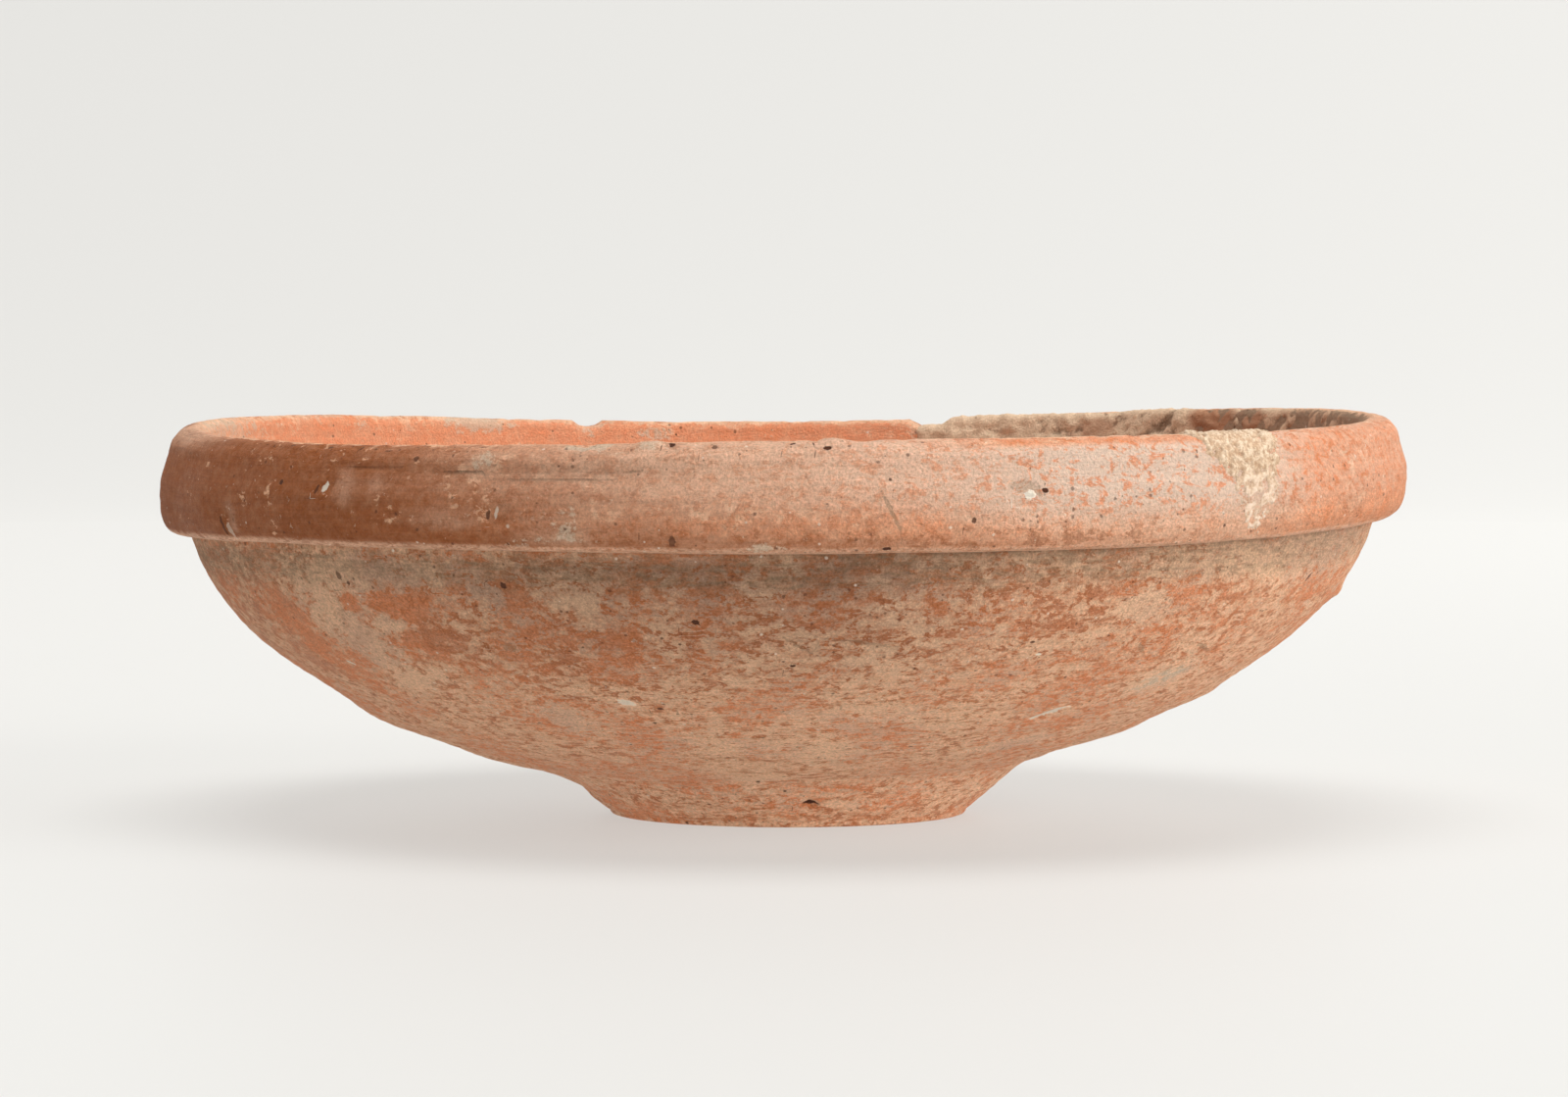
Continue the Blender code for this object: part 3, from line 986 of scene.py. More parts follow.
def faces_between(first, second, start, next_start):
    """Faces between two turns that have equal counts, or one twice the other."""
    faces = []
    if first == second:
        for i in range(first):
            j = (i + 1) % first
            faces.append((start + i, start + j, next_start + j, next_start + i))
    elif first == 2 * second:
        for i in range(second):
            a, b, c = start + 2 * i, start + 2 * i + 1, start + (2 * i + 2) % first
            d, e = next_start + i, next_start + (i + 1) % second
            faces += [(a, b, d), (b, e, d), (b, c, e)]
    else:
        for i in range(first):
            a, b = start + i, start + (i + 1) % first
            c, d, e = next_start + 2 * i, next_start + 2 * i + 1, next_start + (2 * i + 2) % second
            faces += [(a, d, c), (a, b, d), (b, e, d)]
    return faces


def held_fields(place):
    """Everything that the mesh holds for the finish."""
    fields = wear_fields(place)
    fields["run"] = place.run
    fields["broad"] = 0.5 + 0.42 * rough(place.co, 9.0, seed=8)
    fields["pit_mark"] = mark_coordinates(DARK_PITS_AND_SHADE, place)
    fields["grain_mark"] = mark_coordinates(LIME_GRAINS, place)
    fields["scratch_mark"] = mark_coordinates(GREY_SCRATCHES_AND_SHADE, place)
    return fields


def smooth_mesh(name, co, faces, **fields):
    """A smooth mesh that holds each field's value or vector for each of its points."""
    mesh = bpy.data.meshes.new(name)
    mesh.from_pydata(co, [], faces)
    for label, values in fields.items():
        kind, entry = ("FLOAT_VECTOR", "vector") if values.ndim == 2 else ("FLOAT", "value")
        attribute = mesh.attributes.new(label, kind, "POINT")
        attribute.data.foreach_set(entry, values.astype(np.float32).ravel())
    mesh.shade_smooth()
    mesh.update()
    return mesh


def bowl_mesh(pot):
    """The closed surface of the bowl, with its wear as attributes of its points."""
    counts = [1] + [count_at(radius, pot.sizes) for radius in pot.outline.radius[1:-1]] + [1]
    rings = [
        surface_turn(pot, run, all_round(count)) for run, count in zip(pot.outline.run, counts)
    ]
    starts = np.cumsum([0] + counts).tolist()
    first, last = counts[1], counts[-2]
    faces = [(0, 1 + (i + 1) % first, 1 + i) for i in range(first)]
    for i in range(1, len(rings) - 2):
        faces += faces_between(counts[i], counts[i + 1], starts[i], starts[i + 1])
    faces += [(starts[-3] + i, starts[-3] + (i + 1) % last, starts[-2]) for i in range(last)]
    co = np.concatenate([ring.co for ring in rings]).tolist()
    fields = [held_fields(ring.place) for ring in rings]
    held = {name: np.concatenate([field[name] for field in fields]) for name in fields[0]}
    return smooth_mesh("bowl_surface", co, faces, **held)


def crust_mesh(name, pot, reach, spacing, shape):
    """A thin closed crust that follows the surface wherever its thickness is above zero.

    The shape function gives the thickness in mm and the other values that the mesh holds.
    """
    first_turn, last_turn, first_run, last_run = reach
    radius = pot.sizes.rim_radius / MM
    columns = int(math.radians(last_turn - first_turn) * radius / spacing) + 1
    rows = int((last_run - first_run) / spacing) + 1
    azimuth = np.radians(np.linspace(first_turn, last_turn, columns) - 90.0)
    turns = [surface_turn(pot, run, azimuth) for run in np.linspace(first_run, last_run, rows)]
    shapes = [shape(ring.place) for ring in turns]
    co = np.stack([ring.co for ring in turns])
    out = np.stack([ring.out for ring in turns])
    thick = np.stack([values["thick"] for values in shapes])
    corners = np.stack([thick[:-1, :-1], thick[:-1, 1:], thick[1:, 1:], thick[1:, :-1]])
    kept = corners.max(axis=0) > 0.0
    top = co + out * np.maximum(thick, -CRUST_EDGE_SINK)[..., None] * MM
    root = co - out * CRUST_ROOT * MM
    used = np.zeros(thick.shape, dtype=bool)
    for down, right in ((0, 0), (0, 1), (1, 1), (1, 0)):
        used[down:rows - 1 + down, right:columns - 1 + right] |= kept
    number = np.cumsum(used).reshape(used.shape) - 1
    below = int(used.sum())
    faces = []
    edges = []
    for row, column in np.argwhere(kept):
        a, b = int(number[row, column]), int(number[row, column + 1])
        c, d = int(number[row + 1, column + 1]), int(number[row + 1, column])
        faces += [(a, b, c, d), (d + below, c + below, b + below, a + below)]
        edges += [(a, b), (b, c), (c, d), (d, a)]
    known = set(edges)
    for start, end in edges:
        if (end, start) not in known:
            faces.append((end, start, start + below, end + below))
    fields = {}
    for label in shapes[0]:
        values = np.stack([shaped[label] for shaped in shapes])[used]
        fields[label] = np.concatenate([values, values])
    return smooth_mesh(name, np.concatenate([top[used], root[used]]).tolist(), faces, **fields)


def lime_shape(place):
    """The granular lime crust that runs down the collar from the lip."""
    co, run, turn = place.co, place.run, place.turn
    left = np.interp(run, *zip(*LIME_LEFT_EDGE))
    right = np.interp(run, *zip(*LIME_RIGHT_EDGE))
    across = np.radians(np.minimum(turn - left, right - turn)) * place.radius / MM
    along = np.minimum(run - 93.8, 109.6 - run)
    low = falling(run, 102.5, 4.0)
    ragged = rough(co, 2.0, seed=11) * 0.9 + rough(co, 0.8, seed=12) * 0.3
    from_edge = np.minimum(across, along) + ragged * (1.0 + 0.8 * low)
    inside = rising(from_edge, -0.2, 1.1)
    body = 0.10 + 0.20 * rising(run, 97.0, 5.0)
    crumbs = rough(co, 0.8, seed=13) * 0.17 + rough(co, 0.38, seed=14) * 0.13
    pocks = (0.26 + 0.14 * low) * rising(rough(co, 1.1, seed=15) + 0.16 * low, 0.22, 0.25)
    thick = (inside - 0.25) * body / 0.75 + inside * (crumbs - pocks)
    return {"thick": thick, "crumbs": crumbs, "low": low}


def soil_shape(place):
    """The lumpy soil that is left inside the lip, at the right of the back."""
    co, run, turn = place.co, place.run, place.turn
    lumps = rough(co, 3.0, seed=21) * 0.42 + rough(co, 1.2, seed=22) * 0.22
    fine = rough(co, 0.6, seed=23, octaves=2) * 0.06
    thick = (round_pot(SOIL_THICKNESS, turn) + lumps) * (1.0 - 0.6 * falling(run, 109.6, 1.5))
    thick = thick + fine - 1.3 * rising(run, 112.0, 13.0) - 1.1 * falling(run, 108.9, 1.6)
    pale_end = 0.16 * rising(turn, 146.0, 8.0)
    return {"thick": thick, "crumbs": lumps + pale_end, "rust": total_of(RUST_SPOTS, place)}


# Shader nodes

class Value:
    """What a node puts out, with plain arithmetic that adds more nodes."""

    def __init__(self, nodes, socket):
        self.nodes = nodes
        self.socket = socket

    def __add__(self, other):
        return self.nodes.math("ADD", self, other)

    def __sub__(self, other):
        return self.nodes.math("SUBTRACT", self, other)

    def __rsub__(self, other):
        return self.nodes.math("SUBTRACT", other, self)

    def __mul__(self, other):
        return self.nodes.math("MULTIPLY", self, other)

    def __truediv__(self, other):
        return self.nodes.math("DIVIDE", self, other)

    def __rtruediv__(self, other):
        return self.nodes.math("DIVIDE", other, self)


class Nodes:
    """Short ways to add and join the shader nodes of one tree."""

    def __init__(self, tree):
        self.tree = tree

    def add(self, kind, *values, **settings):
        """Adds a node, with its settings and what its first inputs are fed."""
        node = self.tree.nodes.new(kind)
        for name, setting in settings.items():
            setattr(node, name, setting)
        for socket, value in zip(node.inputs, values):
            self.feed(socket, value)
        return node

    def feed(self, socket, value):
        """Joins a socket to a value that changes, or sets it to a plain one."""
        if isinstance(value, Value):
            self.tree.links.new(value.socket, socket)
        elif value is not None:
            socket.default_value = value

    def out(self, node, name=0):
        """One of the things that a node puts out, by its place or name."""
        return Value(self, node.outputs[name])

    def math(self, operation, a, b=None):
        return self.out(self.add("ShaderNodeMath", a, b, operation=operation))

    def greatest(self, first, *others):
        for other in others:
            first = self.math("MAXIMUM", first, other)
        return first

    def spread(self, value, low, high, to_low=0.0, to_high=1.0, smooth=True):
        """Maps a value from one range to another and holds it there."""
        kind = "SMOOTHSTEP" if smooth else "LINEAR"
        ends = (value, low, high, to_low, to_high)
        return self.out(self.add("ShaderNodeMapRange", *ends, interpolation_type=kind))

    def mix(self, factor, a, b, blend="MIX"):
        """Mixes two colours, each changing over the surface or plain."""
        node = self.add("ShaderNodeMix", factor, data_type="RGBA", blend_type=blend)
        for socket, colour in zip(node.inputs[6:8], (a, b)):
            self.feed(socket, colour if isinstance(colour, Value) else (*colour, 1.0))
        return self.out(node, 2)

    def blend(self, factor, a, b):
        node = self.add("ShaderNodeMix", factor, None, a, b, data_type="FLOAT")
        return self.out(node)

    def field(self, name, kind="Fac"):
        """A value that the mesh holds for its points."""
        return self.out(self.add("ShaderNodeAttribute", attribute_name=name), kind)

    def parts(self, vector):
        node = self.add("ShaderNodeSeparateXYZ", vector)
        return [Value(self, socket) for socket in node.outputs]

    def place(self):
        """The point's x, y and z in millimetres."""
        coordinates = self.out(self.add("ShaderNodeTexCoord"), "Object")
        scaled = self.add("ShaderNodeVectorMath", coordinates, operation="SCALE")
        scaled.inputs["Scale"].default_value = 1 / MM
        return self.out(scaled)

    def along_wheel(self, squash):
        """Coordinates in mm that change slowly round the pot and fully up its wall."""
        x, y, _ = self.parts(self.place())
        run = self.field("run")
        return self.out(self.add("ShaderNodeCombineXYZ", x * squash, y * squash, run))

    def noise(self, vector, size, detail, roughness, distortion=0.0):
        """Noise whose lumps are about that many millimetres across."""
        node = self.add("ShaderNodeTexNoise")
        self.feed(node.inputs["Vector"], vector)
        node.inputs["Scale"].default_value = 1 / size
        node.inputs["Detail"].default_value = detail
        node.inputs["Roughness"].default_value = roughness
        node.inputs["Distortion"].default_value = distortion
        return self.out(node)

    def effect(self, name, **values):
        """Places a shared node group, feeds it and gives what it puts out."""
        node = self.add("ShaderNodeGroup", node_tree=shared_effect(name))
        for label, value in values.items():
            self.feed(node.inputs[label.replace("_", " ")], value)
        return [Value(self, socket) for socket in node.outputs]


def torn_coat(nodes, cover, torn, dashes, dashed, veins, grain):
    """Where a coat that has flaked off in torn islands is left, sound or as a thin wash."""
    left = cover + (torn - 0.5) * (dashed * -1.2 + 3.0) + (dashes - 0.5) * (dashed * 2.0)
    left = left + (grain - 0.5) * 0.22 + veins * 0.6
    return nodes.spread(left, 0.52, 0.70), nodes.spread(left, 0.05, 0.75)


def scattered_specks(nodes, spacing, pit_share, grain_share, size, ragged):
    """Small round pits and grains, scattered thinly and of different sizes."""
    cells = nodes.add("ShaderNodeTexVoronoi")
    nodes.feed(cells.inputs["Vector"], nodes.place())
    nodes.feed(cells.inputs["Scale"], 1.0 / spacing)
    random = nodes.add("ShaderNodeSeparateColor", nodes.out(cells, "Color"))
    kind = nodes.out(random, 0)
    reach = size * (nodes.out(random, 1) * 0.7 + 0.3) / spacing
    distance = nodes.out(cells, "Distance") * (ragged + 0.5)
    speck = nodes.spread(distance, reach * 0.5, reach, 1.0, 0.0)
    pits = nodes.math("LESS_THAN", kind, pit_share)
    grains = nodes.math("GREATER_THAN", kind, 1.0 - grain_share)
    return speck * pits, speck * grains


def placed_marks(nodes, across, up, strength, ragged):
    """Small marks with ragged edges, from the coordinates that the mesh holds for them."""
    far = nodes.math("SQRT", across * across + up * up) + (ragged - 0.5) * 2.8
    return [nodes.spread(far, 1.10, 0.80) * strength]


# The shared effects: what builds each, its inputs with their defaults, and its outputs
EFFECTS = {
    "torn coat": (
        torn_coat,
        {"Cover": 0.5, "Torn": 0.5, "Dashes": 0.5, "Dashed": 0.5, "Veins": 0.0, "Grain": 0.5},
        ("Coat", "Wash"),
    ),
    "scattered specks": (
        scattered_specks,
        {"Spacing": 2.0, "Pit Share": 0.1, "Grain Share": 0.2, "Size": 0.3, "Ragged": 0.5},
        ("Pits", "Grains"),
    ),
    "placed marks": (
        placed_marks,
        {"Across": FAR_AWAY, "Up": FAR_AWAY, "Strength": 0.0, "Ragged": 0.5},
        ("Marks",),
    ),
}


def shared_effect(name):
    """The node group of one effect, made when it is first used."""
    if name in bpy.data.node_groups:
        return bpy.data.node_groups[name]
    build, inputs, outputs = EFFECTS[name]
    group = bpy.data.node_groups.new(name, "ShaderNodeTree")
    for label, default in inputs.items():
        socket = group.interface.new_socket(label, in_out="INPUT", socket_type="NodeSocketFloat")
        socket.default_value = default
    for label in outputs:
        group.interface.new_socket(label, in_out="OUTPUT", socket_type="NodeSocketFloat")
    nodes = Nodes(group)
    entry = nodes.add("NodeGroupInput")
    given = [nodes.out(entry, label) for label in inputs]
    nodes.add("NodeGroupOutput", *build(nodes, *given))
    return group


# The finish

def new_material(name):
    material = bpy.data.materials.new(name)
    material.use_nodes = True
    shader = material.node_tree.nodes["Principled BSDF"]
    shader.inputs["Specular IOR Level"].default_value = 0.12
    return material, Nodes(material.node_tree), shader


def add_bump(nodes, shader, height):
    """Gives the surface a height in millimetres."""
    bump = nodes.add("ShaderNodeBump")
    bump.inputs["Strength"].default_value = 1.0
    bump.inputs["Distance"].default_value = MM
    nodes.feed(bump.inputs["Height"], height)
    nodes.feed(shader.inputs["Normal"], nodes.out(bump))


def surface_patterns(nodes):
    """What the finish is mixed from: the values that the mesh holds, and noise."""
    names = "run broad slip brown blotched chalk film grime dust lime soil inside"
    look = SimpleNamespace(**{name: nodes.field(name) for name in names.split()})
    look.small = nodes.noise(nodes.place(), 1.2, 4.0, 0.60)
    look.grain = nodes.noise(nodes.place(), 0.34, 4.0, 0.75)
    look.clouds = nodes.noise(nodes.along_wheel(0.6), 2.0, 2.0, 0.55)
    look.lines = nodes.noise(nodes.along_wheel(0.05), 0.45, 2.0, 0.62)
    look.torn = nodes.noise(nodes.along_wheel(0.72), 1.7, 4.5, 0.70)
    look.dashes = nodes.noise(nodes.along_wheel(0.36), 0.62, 3.0, 0.70)
    look.tone = look.broad * 0.6 + look.small * 0.6
    curls = nodes.noise(nodes.along_wheel(0.50), 2.2, 4.0, 0.62, distortion=0.8)
    from_vein = nodes.math("ABSOLUTE", curls - 0.5)
    broken = nodes.spread(look.small, 0.44, 0.58)
    look.veins = nodes.spread(from_vein, 0.072, 0.014) * broken
    look.fissures = nodes.spread(from_vein, 0.020, 0.005) * broken
    look.blotches = look.blotched * nodes.spread(look.torn, 0.50, 0.58)
    return look


def slip_on_clay(nodes, look, colours):
    """How sound the coat is, and the colour of its torn islands and the clay between."""
    dashed = nodes.spread(look.run, 84.0, 58.0, 0.10, 1.0)
    coat, wash = nodes.effect(
        "torn coat", Cover=look.slip + (look.broad - 0.5) * 0.45, Torn=look.torn,
        Dashes=look.dashes, Dashed=dashed, Veins=look.veins, Grain=look.grain,
    )
    # The coat is thinner in small spots, less so where it is brown
    thinnest = nodes.spread(look.brown, 0.5, 1.0, 0.72, 0.90)
    strength = nodes.spread(look.small, 0.30, 0.60, thinnest, 1.0, smooth=False)
    # It is browner in broad patches, less so where it is chalky, and in the blotches
    patchy = nodes.spread(look.broad, 0.62, 0.36, 0.0, 0.40)
    patchy = patchy * nodes.spread(look.chalk, 0.2, 0.8, 1.0, 0.3)
    browned = nodes.greatest(look.brown, patchy, look.blotches * 0.85)
    red = nodes.mix(browned, colours.slip, colours.slip_brown)
    red = nodes.mix(look.inside, red, colours.slip_inside)
    pale = nodes.mix(nodes.spread(look.tone, 0.50, 0.78), colours.clay, colours.film)
    return coat, nodes.mix(nodes.greatest(coat * strength, wash * 0.55), pale, red)


def lay_film(nodes, look, colours, surface):
    """Lays the milky film, which is chalky at the right and torn along veins and dashes."""
    # Chalk and brown slip make its clouds fainter
    cloudy = nodes.spread(look.chalk, 0.0, 1.0, 0.42, 0.18, smooth=False)
    cloudy = cloudy * nodes.spread(look.brown, 0.5, 1.0, 1.0, 0.6)
    # It lies thickly along the lower edge of the collar
    arris = nodes.spread(look.run, 90.9, 91.4) * nodes.spread(look.run, 94.6, 93.0)
    arris = arris * nodes.spread(look.torn, 0.38, 0.50, 0.42, 0.95)
    milky = nodes.greatest(look.film + (look.clouds - 0.5) * cloudy, arris)
    look.veiled = nodes.spread(milky, 0.07, 0.92)
    # Veins and dashes bare the slip below it, more of it under the chalk
    flecks = nodes.greatest(look.veins, nodes.spread(look.dashes, 0.61, 0.66, 0.0, 0.65))
    bared = flecks * nodes.spread(look.chalk, 0.0, 0.8, 0.30, 0.72, smooth=False)
    haze = look.veiled * (0.97 - bared) * (look.blotches * -0.6 + 1.0)
    return nodes.mix(haze, surface, nodes.mix(look.chalk, colours.film, colours.chalk))


def lay_dirt_and_shade(nodes, look, colours, surface):
    """Lays the grime under the collar, which is partly painted shade, the lime stains and the soil
    inside.

    It also gives how much of the surface they cover.
    """
    # The grime and its painted shade have ragged ends, dark cracks and pale strokes
    streaks = look.dashes * 1.2 + look.lines * 0.8 + look.torn * 0.6
    ragged = (streaks - 1.3) * 1.2 * nodes.spread(look.grime, 0.1, 0.6)
    grimed_and_shaded = nodes.spread(look.grime + ragged, 0.10, 1.15, 0.0, 0.95)
    thick = nodes.spread(look.grime, 0.4, 1.0)
    surface = nodes.mix(grimed_and_shaded, surface, colours.grime)
    cracks = nodes.spread(streaks, 1.22, 1.02) * thick
    surface = nodes.mix(cracks * 0.50, surface, colours.pit)
    strokes = nodes.spread(streaks, 1.38, 1.56) * thick
    surface = nodes.mix(strokes * 0.45, surface, colours.film)
    # The lime and the soil break up into crumbs at their ends
    crumbly = look.small * 1.3 + look.torn * 0.9 + look.grain * 0.8
    stained = nodes.spread(look.lime + crumbly, 1.74, 1.98)
    surface = nodes.mix(stained * 0.70, surface, colours.lime)
    soiled = nodes.spread(look.soil + (look.torn - 0.5) * 1.6, 0.30, 0.62)
    soil = nodes.mix(look.small * 0.50, colours.soil_dark_and_shade, colours.soil)
    surface = nodes.mix(soiled * 0.90, surface, soil)
    return nodes.greatest(soiled, stained, grimed_and_shaded), surface


def shade_grain(nodes, look, colours, surface):
    """Paints light and shade into the colour: painted shade in the grain's hollows and painted light on
    its bumps, light and dark along the wheel lines, and the painted shadow of the collar with its dust;
    and cracks the open wall.
    """
    # The grain's painted light and shade show less inside, under chalk and on brown slip
    shade = nodes.spread(look.grain, 0.28, 0.72, 0.67, 1.48, smooth=False)
    calm = nodes.greatest(look.inside * 0.55, look.chalk * 0.40, look.brown * 0.40)
    shade = nodes.blend(calm, shade, nodes.spread(look.inside, 0.0, 1.0, 1.04, 1.13))
    depth = nodes.spread(look.brown, 0.0, 1.0, 0.28, 0.56, smooth=False)
    stripes = (look.lines - 0.5) * depth + 1.0
    # The painted shadow of the collar and the dust on the wall darken the top of the outer wall
    shadowed = look.dust * nodes.spread(look.tone, 0.40, 0.85, 0.80, 1.20, smooth=False)
    surface = nodes.mix(1.0, surface, shade * stripes * (1.0 - shadowed), blend="MULTIPLY")
    # Fine cracks show where neither the film nor the inside hides them
    open_wall = 1.0 - nodes.greatest(look.inside, look.veiled)
    return nodes.mix(look.fissures * open_wall * 0.20, surface, colours.pit)


def drawn_marks(nodes, name, ragged):
    """Draws the small marks of one kind."""
    across, up, strength = nodes.parts(nodes.field(name, "Vector"))
    return nodes.effect("placed marks", Across=across, Up=up, Strength=strength, Ragged=ragged)[0]


def worn_slip_material(colours):
    """Torn red slip over pale clay, with film, grime, stains, pits and grains, and painted light and
    shade.
    """
    material, nodes, shader = new_material("worn_red_slip")
    look = surface_patterns(nodes)
    coat, surface = slip_on_clay(nodes, look, colours)
    surface = lay_film(nodes, look, colours, surface)
    covered, surface = lay_dirt_and_shade(nodes, look, colours, surface)
    surface = shade_grain(nodes, look, colours, surface)

    ragged = look.small * 0.5 + look.grain * 0.5
    # Some scratch marks paint shade: in a hollow above a lime grain and in the collar's grooves
    scratches_and_shade = drawn_marks(nodes, "scratch_mark", ragged)
    white = drawn_marks(nodes, "grain_mark", ragged)
    large = nodes.effect(
        "scattered specks",
        Spacing=3.1, Pit_Share=0.16, Grain_Share=0.05, Size=0.36, Ragged=look.grain,
    )
    # The brown lip has more of the tiny pits
    on_lip = nodes.spread(look.run, 104.6, 106.4) * nodes.spread(look.run, 108.6, 107.8)
    pitted = on_lip * look.brown * 0.30 + 0.12
    tiny = nodes.effect(
        "scattered specks",
        Spacing=0.85, Pit_Share=pitted, Grain_Share=0.035, Size=0.30, Ragged=look.grain,
    )
    # Some pit marks paint shade: beside three lime grains, in the collar's grooves and under its lower
    # edge
    pits = nodes.greatest(drawn_marks(nodes, "pit_mark", ragged), large[0] * 0.85, tiny[0] * 0.60)
    grains = nodes.greatest(large[1] * 0.7, tiny[1] * 0.55)
    surface = nodes.mix(scratches_and_shade * 0.6, surface, colours.grime)
    surface = nodes.mix(grains, surface, colours.white)
    surface = nodes.mix(pits, surface, colours.pit)
    surface = nodes.mix(white, surface, colours.white)
    nodes.feed(shader.inputs["Base Color"], surface)

    gloss = nodes.blend(coat, 0.90, nodes.spread(look.broad, 0.3, 0.7, 0.60, 0.74))
    nodes.feed(shader.inputs["Roughness"], nodes.blend(covered, gloss, 0.95))
    # The height in mm, with a smoother grain on brown slip
    height = look.grain * nodes.spread(look.brown, 0.6, 1.0, 0.66, 0.44, smooth=False)
    height = height + look.lines * 0.08 + look.small * 0.16 + nodes.greatest(white, grains) * 0.10
    height = height - pits * 0.30 - look.fissures * 0.03 - scratches_and_shade * 0.14
    add_bump(nodes, shader, height)
    return material


def crust_surface(nodes, shader, light, dark, low, high):
    """A granular crust: painted light on its crumbs, which stand between low and high, in mm, and painted
    shade in the hollows between them.
    """
    shader.inputs["Roughness"].default_value = 0.95
    grain = nodes.noise(nodes.place(), 0.30, 3.0, 0.65)
    raised = nodes.field("crumbs") + (grain - 0.5) * ((high - low) * 0.9)
    # Painted shade: the lower a crumb stands, the darker it is painted
    surface = nodes.mix(nodes.spread(raised, low, high), dark, light)
    pits, grains = nodes.effect(
        "scattered specks", Spacing=0.9, Pit_Share=0.30, Grain_Share=0.20, Size=0.26, Ragged=grain,
    )
    # Painted shade in the hollows of the grain and painted light on its bumps
    shade = nodes.spread(grain, 0.25, 0.75, 0.80, 1.18, smooth=False)
    surface = nodes.mix(1.0, surface, shade, blend="MULTIPLY")
    add_bump(nodes, shader, grain * 0.20 + grains * 0.10)
    return nodes.mix(pits * 0.55, surface, dark)


def lime_crust_material(colours):
    material, nodes, shader = new_material("cream_lime_crust")
    surface = crust_surface(nodes, shader, colours.lime, colours.lime_dark_and_shade, -0.14, 0.20)
    thin = nodes.field("low") * nodes.spread(nodes.field("crumbs"), -0.10, 0.12, 0.2, 0.75)
    nodes.feed(shader.inputs["Base Color"], nodes.mix(thin, surface, colours.chalk))
    return material


def soil_crust_material(colours):
    material, nodes, shader = new_material("beige_soil_crust")
    surface = crust_surface(nodes, shader, colours.soil, colours.soil_dark_and_shade, -0.35, -0.02)
    rusty = nodes.field("rust") * 0.7
    nodes.feed(shader.inputs["Base Color"], nodes.mix(rusty, surface, colours.slip_brown))
    return material


def add_piece(context, name, mesh, material):
    """Puts a piece of the bowl in the scene and on its body."""
    mesh.materials.append(material)
    piece = bpy.data.objects.new(name, mesh)
    context.scene.collection.objects.link(piece)
    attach(piece, "root")
    return piece


def make_bowl(context):
    pot = thrown_pot(context.scene.bowl_sizes)
    material = worn_slip_material(context.scene.finish_colours)
    bowl = add_piece(context, "worn_bowl", bowl_mesh(pot), material)
    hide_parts("bowl")


def make_crusts(context):
    pot = thrown_pot(context.scene.bowl_sizes)
    colours = context.scene.finish_colours
    lime = crust_mesh("lime_crust_surface", pot, LIME_REACH, LIME_SPACING, lime_shape)
    add_piece(context, "lime_crust", lime, lime_crust_material(colours))
    soil = crust_mesh("soil_crust_surface", pot, SOIL_REACH, SOIL_SPACING, soil_shape)
    add_piece(context, "soil_crust", soil, soil_crust_material(colours))


# The stage

FLOOR_MIDDLE = 0.3
FLOOR_REACH = 0.9
GLOW_ON_BOWL = 1.38
SWEEP_REACH = 1.7
SWEEP_RISE = 0.8
WALL_TOP = 1.7
SHEET_POINTS_AROUND = 128
FLOOR_LIGHT_COLOUR = (1.0, 0.988, 0.955, 1.0)
ROOM_COLOUR = (1.0, 0.985, 0.96, 1.0)

# How far the camera stands to the right of the bowl's middle
CAMERA_OFFSET = 0.00012

# Each soft light's width, its place and what it is aimed at
BOWL_MIDDLE = (0.0, 0.0, 0.03)
LIGHTS = {
    "key": (0.7, (1.06, -0.50, 0.36), BOWL_MIDDLE),
    "fill": (0.8, (0.10, -1.20, 0.12), BOWL_MIDDLE),
    "bounce": (0.5, (-0.50, -0.88, 0.05), BOWL_MIDDLE),
    "top": (1.5, (-0.05, 0.0, 1.9), BOWL_MIDDLE),
    "backdrop": (0.6, (1.0, 0.6, 0.8), (0.7, 1.7, 0.35)),
}

# Which way the bright side of the room lies, and where its light starts and is full
BRIGHT_SIDE = (0.35, 0.90, 0.25)
BRIGHT_FROM = -0.1
BRIGHT_FULL = 0.9


def floor_material(studio):
    """A pale floor that glows softly, more strongly on the bowl than to the eye."""
    material, nodes, shader = new_material("pale_floor")
    shader.inputs["Base Color"].default_value = (*studio.floor_colour, 1.0)
    shader.inputs["Roughness"].default_value = 0.5
    shader.inputs["Emission Color"].default_value = FLOOR_LIGHT_COLOUR
    seen = nodes.out(nodes.add("ShaderNodeLightPath"), "Is Camera Ray")
    glow = nodes.blend(seen, studio.floor_glow * GLOW_ON_BOWL, studio.floor_glow)
    nodes.feed(shader.inputs["Emission Strength"], glow)
    return material


def turned_sheet(name, line, closed):
    """A surface turned from a line of points, with a middle if it is closed."""
    around = SHEET_POINTS_AROUND
    co = [(0.0, 0.0, 0.0)] if closed else []
    start = len(co)
    for radius, height in line:
        for angle in all_round(around):
            co.append((radius * math.cos(angle), radius * math.sin(angle), height))
    faces = [(0, 1 + i, 1 + (i + 1) % around) for i in range(around)] if closed else []
    for row in range(len(line) - 1):
        between = faces_between(around, around, start + row * around, start + (row + 1) * around)
        faces += [face[::-1] for face in between]
    return smooth_mesh(f"{name}_surface", co, faces)


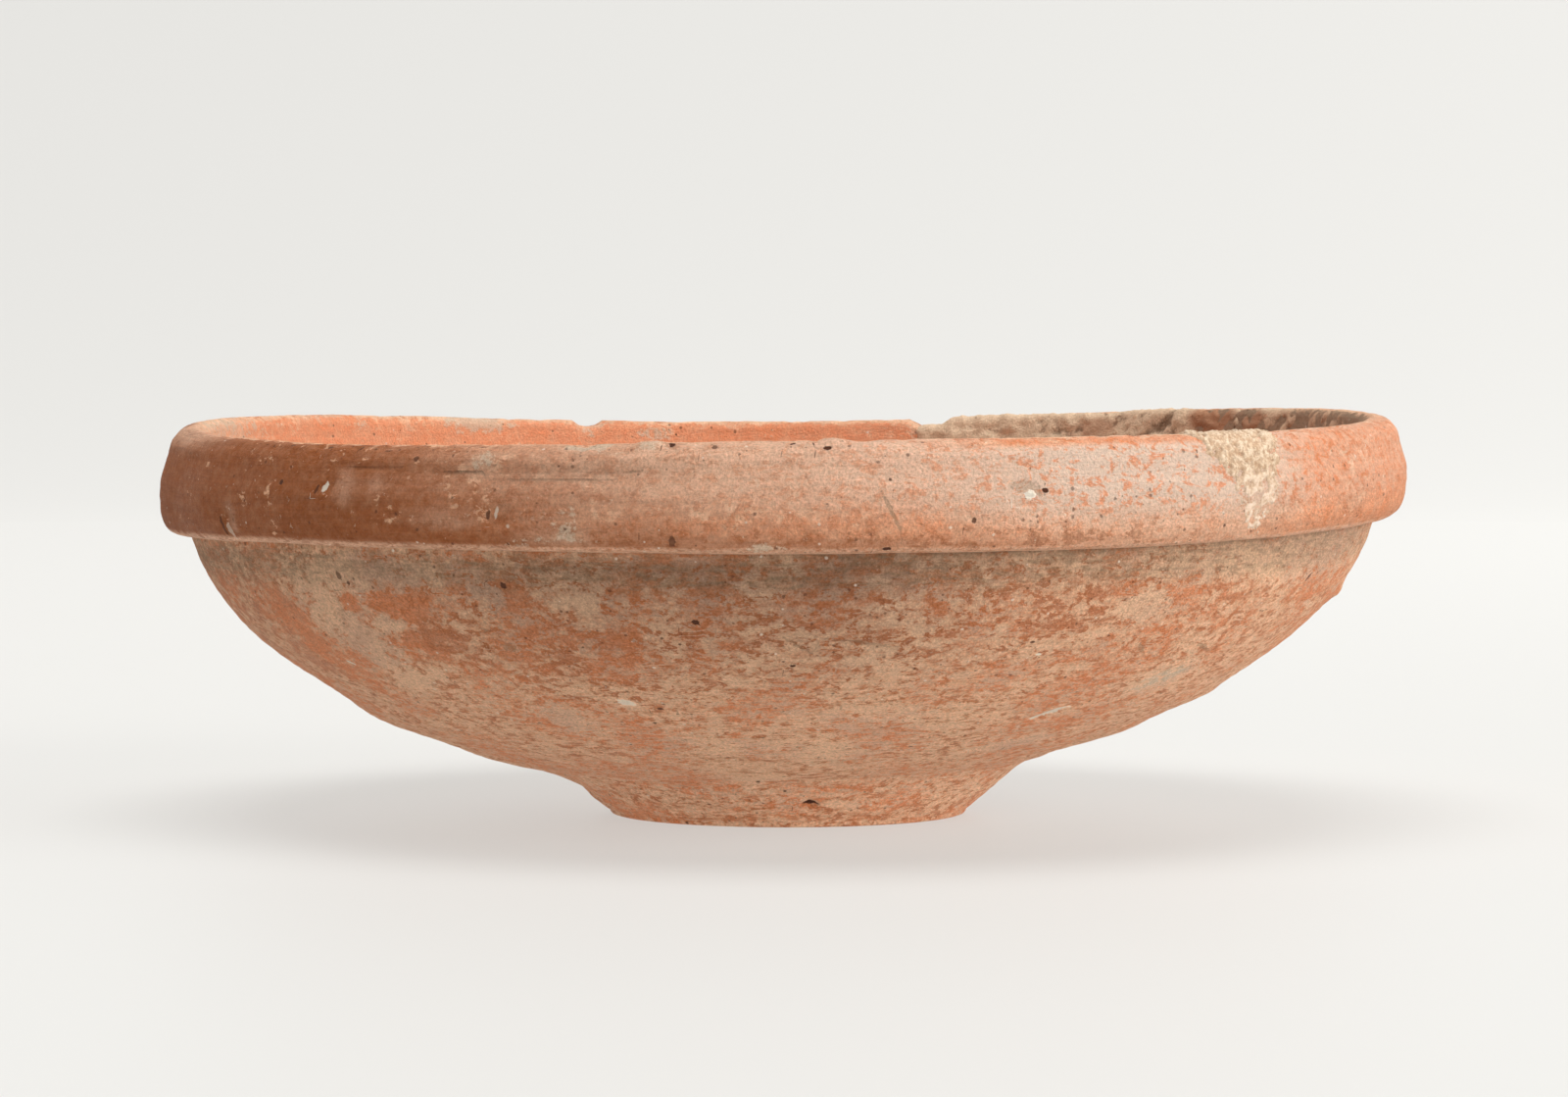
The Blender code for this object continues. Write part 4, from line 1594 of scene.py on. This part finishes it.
def make_floor(context, material):
    """A round floor that turns up into a wall on all sides."""
    corner = at(SWEEP_REACH, 0.0)
    curve = quarter_round(at(FLOOR_REACH, 0.0), corner, at(SWEEP_REACH, SWEEP_RISE), steps=40)
    flat = [at(FLOOR_MIDDLE, 0.0), curve[0]]
    floor = bpy.data.objects.new("floor", turned_sheet("floor", flat, True))
    wall = [*curve, at(SWEEP_REACH, WALL_TOP)]
    backdrop = bpy.data.objects.new("backdrop", turned_sheet("backdrop", wall, False))
    backdrop.visible_diffuse = False
    backdrop.visible_shadow = False
    for piece in (floor, backdrop):
        piece.data.materials.append(material)
        context.scene.collection.objects.link(piece)


def make_room(context, studio):
    """The light of the room: bright behind the bowl and dim in front of it."""
    world = bpy.data.worlds.new("soft_room")
    world.use_nodes = True
    nodes = Nodes(world.node_tree)
    background = world.node_tree.nodes["Background"]
    background.inputs["Color"].default_value = ROOM_COLOUR
    way = nodes.out(nodes.add("ShaderNodeTexCoord"), "Generated")
    side = nodes.add("ShaderNodeVectorMath", way, BRIGHT_SIDE, operation="DOT_PRODUCT")
    ends = (BRIGHT_FROM, BRIGHT_FULL, studio.room_dim, studio.room_bright)
    nodes.feed(background.inputs["Strength"], nodes.spread(nodes.out(side, "Value"), *ends))
    context.scene.world = world


def add_light(context, kind, power):
    size, place, target = LIGHTS[kind]
    data = bpy.data.lights.new(f"{kind}_softbox", "AREA")
    data.energy = power
    data.size = size
    light = bpy.data.objects.new(f"{kind}_softbox", data)
    light.location = place
    light.rotation_euler = (Vector(target) - Vector(place)).to_track_quat("-Z", "Y").to_euler()
    context.scene.collection.objects.link(light)


def add_camera(context, studio):
    camera_data = bpy.data.cameras.new("front_camera")
    camera_data.lens = studio.camera_lens
    camera = bpy.data.objects.new("front_camera", camera_data)
    camera.location = (CAMERA_OFFSET, -studio.camera_distance, studio.camera_height)
    camera.rotation_euler = (math.pi / 2 - studio.camera_pitch, 0.0, 0.0)
    context.scene.collection.objects.link(camera)
    context.scene.camera = camera


def make_stage(context):
    studio = context.scene.studio_settings
    make_floor(context, floor_material(studio))
    make_room(context, studio)
    for kind in LIGHTS:
        add_light(context, kind, getattr(studio, f"{kind}_power"))
    add_camera(context, studio)
    context.scene.view_settings.view_transform = "Standard"


class BOWL_OT_turn_bowl(bpy.types.Operator):
    """Turns the worn bowl and gives it its finish"""

    bl_idname = "worn_bowl.turn_bowl"
    bl_label = "Turn Bowl"

    def execute(self, context):
        make_bowl(context)
        return {"FINISHED"}


class BOWL_OT_lay_crusts(bpy.types.Operator):
    """Lays the lime crust on the lip and the soil inside it"""

    bl_idname = "worn_bowl.lay_crusts"
    bl_label = "Lay Crusts"

    def execute(self, context):
        make_crusts(context)
        return {"FINISHED"}


class BOWL_OT_set_stage(bpy.types.Operator):
    """Sets up the floor, the soft lights and the camera"""

    bl_idname = "worn_bowl.set_stage"
    bl_label = "Set Stage"

    def execute(self, context):
        make_stage(context)
        return {"FINISHED"}


class BOWL_PT_workbench(bpy.types.Panel):
    """The bowl's sizes, colours and tools"""

    bl_idname = "BOWL_PT_workbench"
    bl_label = "Worn Bowl"
    bl_space_type = "VIEW_3D"
    bl_region_type = "UI"
    bl_category = "Bowl"

    def draw(self, context):
        layout = self.layout
        for heading, group in (
            ("Sizes", context.scene.bowl_sizes),
            ("Colours", context.scene.finish_colours),
            ("Studio", context.scene.studio_settings),
        ):
            box = layout.box()
            box.label(text=heading)
            for name in group.__annotations__:
                box.prop(group, name)
        for operator in OPERATORS:
            layout.operator(operator.bl_idname)


OPERATORS = (BOWL_OT_turn_bowl, BOWL_OT_lay_crusts, BOWL_OT_set_stage)
CLASSES = (BowlSizes, FinishColours, StudioSettings, *OPERATORS, BOWL_PT_workbench)


def register():
    for cls in CLASSES:
        bpy.utils.register_class(cls)
    bpy.types.Scene.bowl_sizes = PointerProperty(type=BowlSizes)
    bpy.types.Scene.finish_colours = PointerProperty(type=FinishColours)
    bpy.types.Scene.studio_settings = PointerProperty(type=StudioSettings)


def unregister():
    del bpy.types.Scene.studio_settings
    del bpy.types.Scene.finish_colours
    del bpy.types.Scene.bowl_sizes
    for cls in reversed(CLASSES):
        bpy.utils.unregister_class(cls)


def main():
    register()
    bpy.ops.worn_bowl.turn_bowl()
    bpy.ops.worn_bowl.lay_crusts()
    bpy.ops.worn_bowl.set_stage()
    bpy.context.view_layer.update()


if __name__ == "__main__":
    main()
